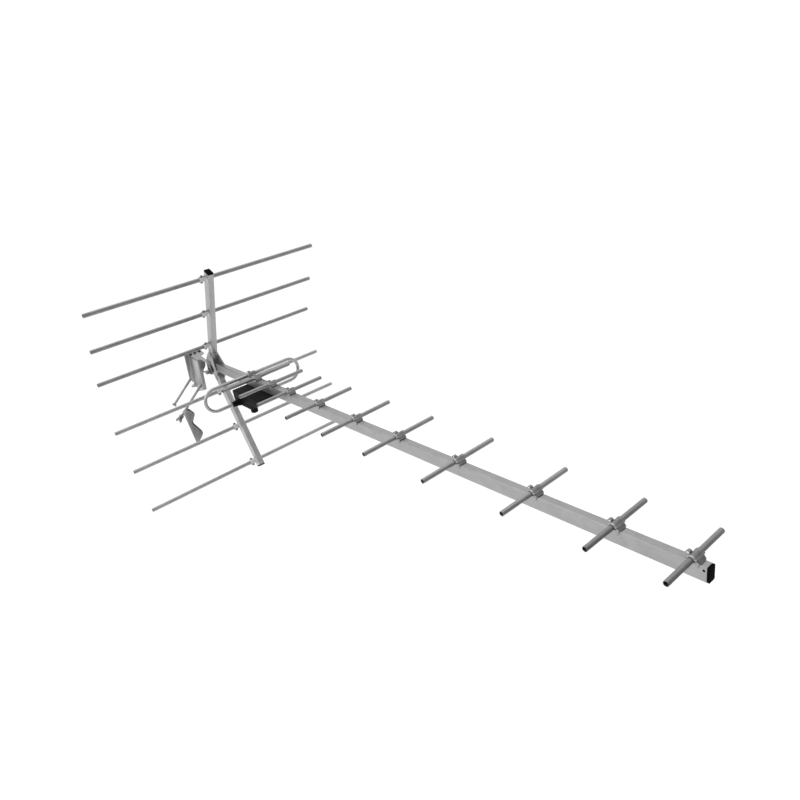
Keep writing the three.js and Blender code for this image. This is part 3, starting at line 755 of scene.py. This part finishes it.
def make_box():
    """The base hangs under the boom, and the lid closes it along a seam through the dipole's bore."""
    top, split, low = BOX["top"], BOX["split"], LID["bottom"]
    dipole_x = middle("folded_dipole").x
    bore = (cutter(circle(TUBE_R + GAP), BOX["near"] + BOX["far"] + 20), moved(dipole_x, 0, split) @ ALONG_Y)
    base = carved(*box_shell(box_side, 1.4, bore))
    post = lathe([(0, top - 1), (3.4, top - 1), (3, -22), (3, -24.6), (1.2, -24.6), (1.2, -22), (0, -22)], 24)
    rib = plate(rounded(96, 1.4, 0.6, 3), 1.6, (), 0.5, 2)
    ribs = [(rib, moved(203, y, top + 0.3)) for y in (4 - BOX["near"], BOX["far"] - 4)]
    lug = plate(rounded(7, 5, 1.2), 5, (), 0.8, 2)
    base = joined((base, Matrix()), *[(post, moved(x, y, 0)) for x, y in POSTS], *ribs,
                  (lug, moved(264, -41.5, -17.5) @ STOOD))
    piece("box_base", base, HOME)

    lid = carved(*box_shell(lid_side, 1.6, bore), (cutter(circle(5.1), 30), moved(*INLET, low)),
                 (cutter(circle(2.1), 30), moved(*LID_SCREW, low)))
    collar = lathe([(9.2, low + 0.8), (9.2, low - 1.6), (8.4, low - 2.6), (8.0, low - 10.2),
                    (7.4, low - 11.2), (6.9, low - 11.2), (6.7, low + 0.8)], 40, closed=True)
    ridge = plate(rounded(1.2, 60, 0.5, 3), 1.2, (), 0.4, 2)
    ridges = [(ridge, moved(x, -4, low)) for x in (160, 166, 186, 192)]
    piece("box_lid", joined((lid, Matrix()), (collar, moved(*INLET)), *ridges), HOME)

    holes = [circle(2.1, dipole_x - BOARD_X, y) for y in (-12, 18)]
    board = plate(rounded(74, 66, 1.5), 1.6, holes, 0.2, 1)
    tracks = [(plate(rounded(w, h, 0.8, 4), 0.25, (), 0.1, 1), moved(x, y, -0.9))
              for x, y, w, h in ((2, -18, 26, 5), (2, 18, 26, 5), (22, 0, 5, 40), (-4, 0, 12, 10))]
    chip = plate(rounded(12, 10, 0.6, 3), 6, (), 0.5, 2)
    board = joined((board, Matrix()), *tracks, (chip, moved(4, 0, -3.6)))
    piece("balun_board", board, Matrix.Translation(at(BOARD_X, -3, -25.8)))


def cross_screw(head, thread, seat, cross):
    """A screw on local Z, its head at zero with a cross recess and its thread starting at seat."""
    shape = joined((lathe(head, 32), moved()), (thread, moved(0, 0, seat)))
    recess = plate(rounded(cross, 0.9, 0.2, 2), 2, (), 0.05, 0)
    return carved(shape, (recess, moved()), (recess, axes(Y, -X, Z)))


def make_box_fittings():
    """Terminal screws and sleeves on the dipole's ends, the coaxial inlet and the lid's screw."""
    dipole_x = middle("folded_dipole").x
    for name, side in (("left", -1), ("right", 1)):
        head = [(0, 0.0), (2.6, 0.1), (3.4, 0.6), (3.6, 1.2), (3.6, 2.2), (0, 2.2)]
        screw = cross_screw(head, threaded(1.8, 18, 0.7, 0.2, 20), 2, 4.6)
        screw_at = at(dipole_x, side * TERMINAL_Y, -40.5)
        piece(f"terminal_screw_{name}", screw, Matrix.Translation(screw_at), BOLT_METAL)

        steps = [(4.3, 0), (8.5, 0), (8.5, 2.6), (7.8, 3.2)]
        for k in range(5):
            x = 4.4 + k * 2.6
            r = 7.6 - 0.32 * k
            steps += [(r, x), (r, x + 1.4), (r - 0.7, x + 1.8), (r - 0.7, x + 2.3)]
        steps += [(5.8, 18.2), (5.4, 19), (4.3, 19)]
        box_half = BOX["near" if side < 0 else "far"]
        sleeve_at = at(dipole_x, side * (box_half + GAP), BOX["split"])
        piece(f"dipole_sleeve_{name}", lathe(steps, 48, closed=True), aimed(Y * side, sleeve_at))

    low = LID["bottom"]
    hexagon = plate(circle(6.2, steps=6), 3.6, [circle(3)], 0.5, 2)
    barrel = threaded(4.7, 8.2, 0.8, 0.3, 36)
    barrel = carved(barrel, (cutter(circle(3.1), 12), moved(0, 0, -1)))
    core = lathe([(0, 2), (0.6, 2.2), (1.1, 3), (2.4, 3), (2.4, 4), (0, 4)], 24)
    flange = lathe([(0, 2.1), (7, 2.1), (7, 4.2), (4.6, 4.4), (0, 4.4)], 32)
    inlet = joined((hexagon, moved(0, 0, -2.2)), (barrel, moved(0, 0, -12)), (core, moved(0, 0, -12)),
                   (flange, moved()))
    piece("f_connector", inlet, Matrix.Translation(at(*INLET, low)))

    head = [(0, 0.0), (2.2, 0.1), (3.1, 0.6), (3.4, 1.2), (3.4, 2.1), (0, 2.1)]
    screw = cross_screw(head, threaded(1.8, 10, 0.8, 0.25, 20), 1.5, 4.2)
    piece("lid_screw", screw, Matrix.Translation(at(*LID_SCREW, low - 2.4)), BOLT_METAL)


# ---- hub and arms ----
def arm_matrix(side):
    """The arm's own frame: Z along it from the apex, X towards its front."""
    along = Vector((math.sin(ARM_LEAN), 0, side * math.cos(ARM_LEAN)))
    forward = Vector((math.cos(ARM_LEAN), 0, -side * math.sin(ARM_LEAN)))
    return axes(forward, along.cross(forward), along, at(ARM_APEX_X, 0, 0))


PIN_R = 3.2
TILT = middle("tilt_bolt")
TILT_HOLE = 3.8


def rivet(near, far):
    """A tubular rivet along local Z, its heads resting on sheets that reach to -near and far."""
    def head(seat, way):
        end = seat + 2.2
        return [(r, way * z) for r, z in ((3, seat), (5.2, seat), (5.0, end - 0.9), (3.8, end), (2.4, end),
                                          (1.6, end - 0.6), (0, end - 0.8))]
    return lathe(head(near, -1)[::-1] + head(far, 1), 36)


def make_arms():
    for name, side in (("upper", 1), ("lower", -1)):
        length = ARM_END - ARM_START
        tube = profile_tube(ARM_DEPTH, ARM_WIDTH, length)
        tube.transform(moved(0, 0, ARM_START + length / 2))
        rod_bore = cutter(circle(ROD_R + 0.25, steps=32), 40)
        bores = [(rod_bore, moved(-ROD_SETBACK, 0, station) @ ALONG_Y) for station in ROD_STATIONS]
        bores.append((cutter(circle(PIN_R, steps=32), 40), moved(0, 0, ARM_PIVOT) @ ALONG_Y))
        tube = carved(tube, *bores)
        # The lower arm gets the lighter copy, a painted light.
        piece(f"arm_{name}", tube, arm_matrix(side), ARM_METAL if side > 0 else LIT_LOW_ARM_METAL)

        cap = joined(*end_plug(ARM_DEPTH, ARM_WIDTH))
        piece(f"arm_cap_{name}", cap, arm_matrix(side) @ moved(0, 0, ARM_END), BLACK_CAP)

        # The near cheek doesn't reach the lower pin, whose head rests on the arm there.
        far = CHEEK_OUT + GAP
        near = far if side > 0 else ARM_WIDTH / 2 + GAP
        pivot = at(*middle(f"arm_pin_{name}"))
        pivot.y = DATUM.y
        piece(f"arm_pin_{name}", rivet(near, far), axes(Z, X, Y, pivot), BOLT_METAL)


PLATE_R = 5.9
PLATE_HALF = 6
RIM = 1.3


def make_arm_plates():
    """Small extras on the arms' front faces: a rivet by each rod, and near the hub a rounded plate."""
    front = ARM_DEPTH / 2
    dome = lathe([(0, 1.5), (1.1, 1.3), (1.9, 0.7), (2.2, 0), (0, 0)], 24)
    for name, side, station in (("upper", 1, 34), ("lower", -1, 49)):
        arm = arm_matrix(side)
        body = f"reflector_{name}"
        oval = hull([(-PLATE_HALF, 0, PLATE_R), (PLATE_HALF, 0, PLATE_R)])
        oval = plate(oval, 1.6, [circle(1.4, PLATE_HALF, 0, 20)], 0.4, 2)
        parts = [(dome, moved(front - 0.1, 1.5, s - side * 9) @ axes(-Z, Y, X)) for s in ROD_STATIONS]
        parts.append((oval, moved(front + 1.8, 0, station) @ axes(Z, Y, -X)))
        extra(f"arm_plates_{name}", joined(*parts), arm, body, EAR_PLATE_AND_HIGHLIGHT_METAL)
        rim = plate(hull([(-PLATE_HALF, 0, PLATE_R + RIM), (PLATE_HALF, 0, PLATE_R + RIM)]), 0.9, (), 0.3, 2)
        rim_at = moved(front + 0.5, 0, station) @ axes(Z, Y, -X)
        extra(f"arm_rim_{name}", rim, arm @ rim_at, body, ARM_METAL)


CLIP_FACE = -ARM_WIDTH / 2 - GAP
CLIP_LUG_Y = CLIP_FACE - 9


def rod_clip_shape():
    """A stamped clip beside the arm: a strap and a sleeve, and two lugs on the sleeve."""
    inner = ROD_R + GAP
    outer = inner + SHEET
    strap = softened([(-6, -6), (13, -5), (13, 5), (-6, 6)], 2.5)
    strap = plate(strap, SHEET, [circle(inner, steps=40)], 0.3, 2)
    sleeve = lathe([(inner, 0.5), (outer, 0.5), (outer, 14.4), (outer - 0.3, 15), (inner, 15)], 40,
                   closed=True)
    lug = hull([(-2.6, 0, 0.8), (2.6, 0, 0.8), (1.2, 3.0, 1.6), (-1.2, 3.0, 1.6)])
    lug = plate(lug, 4.0, [circle(0.9, 0, 2.6, 16)], 0.6, 3)
    parts = [(strap, moved(0, CLIP_FACE - SHEET / 2, 0) @ STOOD),
             (sleeve, moved(0, CLIP_FACE, 0) @ axes(X, -Z, -Y))]
    parts += [(lug, moved(0, CLIP_LUG_Y, side * (outer - 0.6)) @ axes(Y, side * Z, X)) for side in (-1, 1)]
    return joined(*parts)


def off_lugs(centre, normal):
    """Whether a rod clip's face lies on its strap or sleeve, and not on a lug."""
    return not (abs(centre.z) > ROD_R + 1.1 and abs(centre.y - CLIP_LUG_Y) < 3.5 and abs(centre.x) < 3)


def make_rods():
    """The reflector's rods and their clips, whose straps and sleeves carry a painted highlight that makes
    them brighter than their lugs.
    """
    shape = rod_clip_shape()
    for number in range(1, 7):
        side = 1 if number <= 3 else -1
        node = f"reflector_rod_{number}"
        # The lower rods get the lighter copy, a painted light.
        element(node, ROD_R, ROD_METAL if side > 0 else LIT_LOW_ROD_METAL)
        lean = Matrix.Rotation(side * ARM_LEAN, 4, "Y")
        clip = piece(f"rod_clip_{number}", shape.copy(), Matrix.Translation(at(*middle(node))) @ lean)
        # Straps and sleeves get the bright metal, a painted highlight.
        second_metal(clip, HIGHLIGHT_STRAP_METAL, off_lugs)


def make_hub():
    """Two cheeks joined by a web at the rear, and on the near cheek a thin dark sheet that is a painted
    shadow.
    """
    def pivot(side):
        return (ARM_APEX_X + ARM_PIVOT * math.sin(ARM_LEAN), side * ARM_PIVOT * math.cos(ARM_LEAN))
    far = hull([(*pivot(1), 9.5), (*pivot(-1), 9.5), (18, 0, 9), (TILT.x, TILT.z, 10), (TILT.x, -TILT.z, 8)])
    near = hull([(*pivot(1), 9.5), (-28, 14, 9), (-6, 2, 6), (-6, -13, 9), (TILT.x, TILT.z, 8)])
    near_holes = [circle(PIN_R, *pivot(1)), circle(TILT_HOLE, TILT.x, TILT.z)]
    far_holes = [*near_holes, circle(PIN_R, *pivot(-1)), circle(3, -8, 0)]
    thickness = CHEEK_OUT - CHEEK_IN
    cheek_y = (CHEEK_IN + CHEEK_OUT) / 2
    web = plate(rounded(CHEEK_OUT * 2 - 1.6, 26, 1.0), thickness, (), 0.3, 2)
    parts = [(plate(near, thickness, near_holes, 0.35, 2), moved(0, -cheek_y, 0) @ STOOD),
             (plate(far, thickness, far_holes, 0.35, 2), moved(0, cheek_y, 0) @ STOOD),
             (web, moved(-37, 0, 0) @ ALONG_X)]
    piece("hub_bracket", joined(*parts), HOME, HUB_METAL)

    # A painted shadow: a thin dark sheet on the near cheek where shade falls by the tilt bolt.
    shade = plate(hull([(-19, -2, 8.5), (-15, -7, 7)]), 0.24, (), 0.08, 1)
    shade_at = HOME @ moved(0, -CHEEK_OUT - 0.1, 0) @ STOOD
    extra("hub_painted_shadow", shade, shade_at, "boom_frame", SHADE_PAINT_STEEL)


# ---- mast clamp ----
# The bracket is drawn upright around the tilt bolt, then leans forward.
LEANT = moved(TILT.x, 0, TILT.z) @ Matrix.Rotation(math.radians(10), 4, "Y")
# Along X: lip, front and tail. Across Y: web, lip_edge and flange_edge. Up Z: the others.
BRACKET = {"lip": -68, "front": -22, "tail": -94, "sheet": 2.5, "top": 30, "shelf": 28, "bottom": -58,
           "low": -66, "web": -30, "lip_edge": -42, "flange_edge": -20}
LUG_Y = -9.7
SHELF_SCREWS = (-26, -14, -2)


def web_point(x, z):
    """A point of the bracket's web, in millimetres from the datum."""
    return LEANT @ (Vector((x, BRACKET["web"], z)) * MM) / MM


HOLE_REAR = web_point(-86, -48)
HOLE_FRONT = web_point(-31, -45.7)
# Distances along the bolts from the web.
REAR_REACH = 82.0
JAW_AT = 80.6


def make_bracket():
    """The web with its two flanges is one bent body, cut to outline. Tail, shelf, lug and gusset join it."""
    b = BRACKET
    s, web, front, lip, tail, low = b["sheet"], b["web"], b["front"], b["lip"], b["tail"], b["low"]
    top, shelf_top, lip_edge, flange_edge = b["top"], b["shelf"], b["lip_edge"], b["flange_edge"]
    # The section seen from above: a lip at the rear, the web, and a flange at the front.
    section = [(lip, lip_edge), (lip + s, lip_edge), (lip + s, web), (front, web),
               (front, flange_edge), (front - s, flange_edge), (front - s, web + s), (lip, web + s)]
    height = top - low + 7
    body = plate(softened(section, 2.0, 5), height, (), 0.3, 2)
    body.transform(moved(0, 0, top - height / 2))
    notch = web - 2.5
    away_lip = [(lip_edge - 5, top + 1), (lip_edge, top + 1), (lip_edge, -37), (notch, -44), (notch, -55),
                (lip_edge, -60), (lip_edge, -62.5), (web - 3, low), (web - 3, low - 20),
                (lip_edge - 5, low - 20)]
    web_start = lip + s + 0.6
    away_web = [(front + 5, shelf_top), (web_start, shelf_top), (web_start, top + 5), (front + 5, top + 5)]
    away_low = [(front + 5, b["bottom"] + 2), (front, b["bottom"]), (front - 28, low - 7), (lip + 8, low),
                (lip - 5, low), (lip - 5, low - 20), (front + 5, low - 20)]
    to_local = (HOME @ LEANT).inverted()
    round_hole = cutter(circle(BOLT_R + 1.2, steps=40), 40)
    cuts = [(cutter(away_lip, 12), moved(lip, 0, 0) @ ALONG_X), (cutter(away_web, 80), STOOD),
            (cutter(away_low, 80), STOOD)]
    cuts += [(round_hole, to_local @ along_bolt(hole, 0)) for hole in (HOLE_REAR, HOLE_FRONT)]
    body = bevelled(carved(body, *cuts), 0.25, 2, 50)

    tail_plate = [(lip + 1, 1), (tail, -14), (tail, -54), (tail + 5, -57), (lip - 4, -57), (lip + 1, low)]
    tail_plate = plate(softened(tail_plate, 2.5), s, (), 0.3, 2)
    tail_at = moved(0, web + s / 2, 0) @ STOOD
    tail_plate = carved(tail_plate, (round_hole, tail_at.inverted() @ to_local @ along_bolt(HOLE_REAR, 0)))
    shelf = [(lip - 6, web), (front, web), (front, flange_edge), (8, LUG_Y - s - 4), (8, LUG_Y),
             (lip + 26, LUG_Y), (lip + 20, 4), (lip - 6, 4)]
    shelf = plate(softened(shelf, 3), s, (), 0.3, 2)
    lug = hull([(0, 0, 9.5), (-9, shelf_top - 3, 2.5), (6, shelf_top - 3, 2.5)])
    lug = plate(lug, s, [circle(TILT_HOLE)], 0.35, 2)
    gusset_edge = flange_edge - 0.5
    gusset = [(gusset_edge, -8), (-10, 8), (-10, shelf_top - 1), (gusset_edge, shelf_top - 1)]
    gusset = plate(softened(gusset, 2), s, (), 0.3, 2)
    shape = joined((body, Matrix()), (gusset, moved(front - s / 2, 0, 0) @ ALONG_X), (tail_plate, tail_at),
                   (shelf, moved(0, 0, shelf_top - s / 2)), (lug, moved(0, LUG_Y - s / 2, 0) @ STOOD))
    piece("mast_bracket", shape, HOME @ LEANT)

    # Painted shade: the shelf's screw domes are dark to stand for the shade of holes, and a thin dark washer
    # on the lug paints the shade around the tilt bolt.
    dome = lathe([(0, 3.6), (2.4, 3.4), (3.8, 2.6), (4.3, 1.4), (4.4, 0), (0, 0)], 28)
    washer = plate(circle(9.2), 0.24, [circle(3.9)], 0.08, 1)
    shade_marks = [(dome, moved(lip + 3, y, shelf_top - 0.1)) for y in SHELF_SCREWS]
    shade_marks.append((washer, moved(0, LUG_Y - s - 0.1, 0) @ STOOD))
    extra("bracket_painted_shade", joined(*shade_marks), HOME @ LEANT, "mast_clamp", SHADE_PAINT_STEEL)


def along_bolt(hole, distance):
    """A matrix on a clamp bolt, its Z pointing outwards along it."""
    return aimed(BOLT_AXIS, at(*(hole + BOLT_AXIS * distance)))


def nut(radius, height, bore):
    """A hexagon nut with its edges turned down, on local Z from zero."""
    body = plate(circle(radius, steps=6), height, [circle(bore)], 0.01, 0)
    half = height / 2
    inner, outer = radius * 0.9, radius * 1.03
    cone = lathe([(0, -half), (inner, -half), (outer, -half + 0.8), (outer, half - 0.8), (inner, half),
                  (0, half)], 48)
    shape = carved(body, (cone, Matrix()), operation="INTERSECT")
    shape.transform(moved(0, 0, height / 2))
    return bevelled(shape, 0.15, 2, 25)


def wing_nut():
    """A cast wing nut on local Z from its seat at zero: a tapering hub and two leaf-shaped wings."""
    hub = lathe([(3.8, 0), (5.7, 0), (6.0, 0.5), (5.9, 1.4), (5.0, 5.8), (4.7, 6.7), (4.3, 7.0),
                 (3.8, 7.0)], 40, closed=True)
    leaf = ((5, 3.2, 2.2), (8.6, 6.6, 2.6), (11, 11, 3.5), (12.0, 8.6, 2.0))
    wings = [hull([(side * x, y, r) for x, y, r in leaf]) for side in (-1, 1)]
    return joined((hub, Matrix()), *[(plate(wing, 2.5, (), 1.1, 4), STOOD) for wing in wings])


def make_bolts():
    """The clamp bolts, whose heads lie behind the web, with their nuts, and the tilt bolt through the hub."""
    head_z = -12.4
    shank_z = -9.4
    front = joined((threaded(BOLT_R, JAW_AT + 25 - shank_z, plain=30), moved(0, 0, shank_z)),
                   (nut(5.0, 4, 0.5), moved(0, 0, head_z)))
    piece("clamp_bolt_front", front, along_bolt(HOLE_FRONT, 0), BOLT_METAL)
    rear_head = [(0, head_z), (4.4, head_z), (5, head_z + 0.6), (5, head_z + 4), (0, head_z + 4)]
    rear = joined((threaded(BOLT_R, REAR_REACH - shank_z, plain=28), moved(0, 0, shank_z)),
                  (lathe(rear_head, 32), moved()), (nut(6.2, 4.5, 0.5), moved(0, 0, REAR_REACH - 3)))
    piece("clamp_bolt_rear", rear, along_bolt(HOLE_REAR, 0), BOLT_METAL)
    piece("clamp_nut", nut(6.0, 4.2, BOLT_R + GAP), along_bolt(HOLE_FRONT, JAW_AT + 9), BOLT_METAL)
    piece("clamp_wing_nut", wing_nut(), along_bolt(HOLE_FRONT, JAW_AT + 13.6), DARK_ZINC)

    seat = CHEEK_OUT + GAP
    lug_face = LUG_Y - BRACKET["sheet"]
    length = 12 - lug_face + seat + 1
    bolt = joined((threaded(BOLT_R, length, plain=20), moved()), (nut(6.0, 4, 0.5), moved(0, 0, -3)))
    piece("tilt_bolt", bolt, aimed(-Y, at(TILT.x, seat + 1, TILT.z)), BOLT_METAL)
    piece("tilt_wing_nut", wing_nut(), aimed(-Y, at(TILT.x, lug_face - GAP, TILT.z)), EAR_PLATE_AND_HIGHLIGHT_METAL)


JAW = {"length": 92.0, "depth": 21.0, "width": 18.0, "sheet": 2.2, "hole": 6.0}
JAW_DOWN = Vector((0.208, 0.042, -0.977)).normalized()
JAW_SIDE = Vector((0.73, -0.542, 0.416))


def make_jaw():
    """A channel whose flanges carry a notch between two rounded lobes."""
    inwards = JAW_SIDE.cross(JAW_DOWN).normalized()
    up = -JAW_DOWN
    length, d, width, s, hole = (JAW[key] for key in ("length", "depth", "width", "sheet", "hole"))
    section = [(0, -width / 2), (d, -width / 2), (d, -width / 2 + s), (s, -width / 2 + s),
               (s, width / 2 - s), (d, width / 2 - s), (d, width / 2), (0, width / 2)]
    channel = plate(softened(section, 1.6, 5), length, (), 0.05, 0)
    channel.transform(moved(0, 0, hole - length / 2))
    side = [(-1, 0), (0.45 * d, 0), (0.8 * d, -9), (d, -18), (0.95 * d, -23), (7.5, -40), (0.76 * d, -56),
            (d, -67), (d, -75), (0.7 * d, -83), (0.2 * d, -length), (-1, -length)]
    flank = cutter(softened([(x, z + hole) for x, z in side], 7, 8), width + 4)
    shape = carved(channel, (flank, STOOD), operation="INTERSECT")
    frame_here = axes(inwards, up.cross(inwards), up, at(*(HOLE_FRONT + BOLT_AXIS * JAW_AT)))
    bore = cutter(circle(BOLT_R + 0.8, steps=40), 38)
    to_local = frame_here.inverted() @ along_bolt(HOLE_FRONT, JAW_AT - 5)
    second = (cutter(circle(3.6, steps=32), 12), moved(0, 0, -length + 2.4 * hole) @ ALONG_X)
    shape = bevelled(carved(shape, (bore, to_local), second), 0.3, 2, 50)
    piece("clamp_jaw", shape, frame_here)


# ---- camera, light and floor ----
CAMERA = {"azimuth": 53.41, "elevation": 24.60, "roll": -9.62, "lens": 31.16, "sensor": 36,
          "shift_x": 0.0012, "shift_y": 0.0057, "place": (1554.9, -626.1, 559.1)}


def make_camera():
    azimuth, elevation, roll = (math.radians(CAMERA[key]) for key in ("azimuth", "elevation", "roll"))
    back = Vector((math.sin(azimuth) * math.cos(elevation), -math.cos(azimuth) * math.cos(elevation),
                   math.sin(elevation)))
    right = (-back).cross(Z).normalized()
    up = back.cross(right)
    lens = bpy.data.cameras.new("camera")
    lens.sensor_width = CAMERA["sensor"]
    lens.lens = CAMERA["lens"]
    lens.shift_x = CAMERA["shift_x"]
    lens.shift_y = CAMERA["shift_y"]
    lens.clip_end = 50
    camera = bpy.data.objects.new("camera", lens)
    scene.collection.objects.link(camera)
    turned = Matrix.Rotation(roll, 3, back)
    camera.matrix_world = axes(turned @ right, turned @ up, back, at(*CAMERA["place"]))
    scene.camera = camera


def area_light(name, place, target, size, power):
    light = bpy.data.lights.new(name, "AREA")
    light.shape = "DISK"
    light.size = size
    light.energy = power
    obj = bpy.data.objects.new(name, light)
    scene.collection.objects.link(obj)
    direction = (Vector(target) - Vector(place)).normalized()
    obj.matrix_world = Matrix.Translation(place) @ direction.to_track_quat("-Z", "Y").to_matrix().to_4x4()
    return obj


# The first two are in metres.
FLOOR_BELOW = 0.45
BOOM_MIDDLE = 0.5
SKY_STRENGTH = 1.35
DIM_SKY = 0.34


def make_stage():
    """A pale floor and a bright studio, both falling off towards +X, behind the camera."""
    floor_z = cad_box[0][2] - FLOOR_BELOW
    bm = bmesh.new()
    bmesh.ops.create_grid(bm, x_segments=2, y_segments=2, size=30)
    floor = bpy.data.objects.new("floor", finished(bm))
    floor.location = (BOOM_MIDDLE, 0, floor_z)
    scene.collection.objects.link(floor)
    n = Nodes("floor")
    place = n.add("ShaderNodeTexCoord")
    parts = n.add("ShaderNodeSeparateXYZ")
    n.link(place.outputs["Object"], parts.inputs["Vector"])
    fall = n.add("ShaderNodeMapRange", {"From Min": 0.9, "From Max": 2.2, "To Min": 0.0, "To Max": 1.0})
    n.link(parts.outputs["X"], fall.inputs["Value"])
    cloud = n.ramp(n.noise(n.coords(), 0.002, 2.0), [(0.3, 0.88), (0.7, 0.91)])
    n.link(n.mix(fall.outputs["Result"], cloud, 0.4), n.shader.inputs["Base Color"])
    n.shader.inputs["Roughness"].default_value = 0.9
    n.shader.inputs["Specular IOR Level"].default_value = 0.1
    floor.data.materials.append(n.material)

    world = bpy.data.worlds.new("studio")
    world.use_nodes = True
    tree = world.node_tree
    nodes = {kind: tree.nodes.new(f"ShaderNode{kind}") for kind in ("TexCoord", "SeparateXYZ", "ValToRGB")}
    tree.links.new(nodes["TexCoord"].outputs["Generated"], nodes["SeparateXYZ"].inputs["Vector"])
    tree.links.new(nodes["SeparateXYZ"].outputs["X"], nodes["ValToRGB"].inputs["Fac"])
    tree.links.new(nodes["ValToRGB"].outputs["Color"], tree.nodes["Background"].inputs["Color"])
    bright, dim = nodes["ValToRGB"].color_ramp.elements
    bright.position, bright.color = 0.05, (1, 1, 1, 1)
    dim.position, dim.color = 0.75, (DIM_SKY, DIM_SKY, DIM_SKY, 1)
    tree.nodes["Background"].inputs["Strength"].default_value = SKY_STRENGTH
    scene.world = world
    scene.view_settings.view_transform = "Standard"
    centre = Vector((BOOM_MIDDLE, 0.0, 0.0))
    area_light("key", (0.2, -3.0, 2.0), centre, 2.2, 35)
    area_light("top", (0.4, 0.5, 3.2), centre, 3.0, 6)


make_camera()
make_boom()
make_dipole()
make_directors()
make_dipole_clip()
make_box()
make_box_fittings()
make_arms()
make_arm_plates()
make_rods()
make_hub()
make_bracket()
make_bolts()
make_jaw()
make_stage()

bpy.context.view_layer.update()
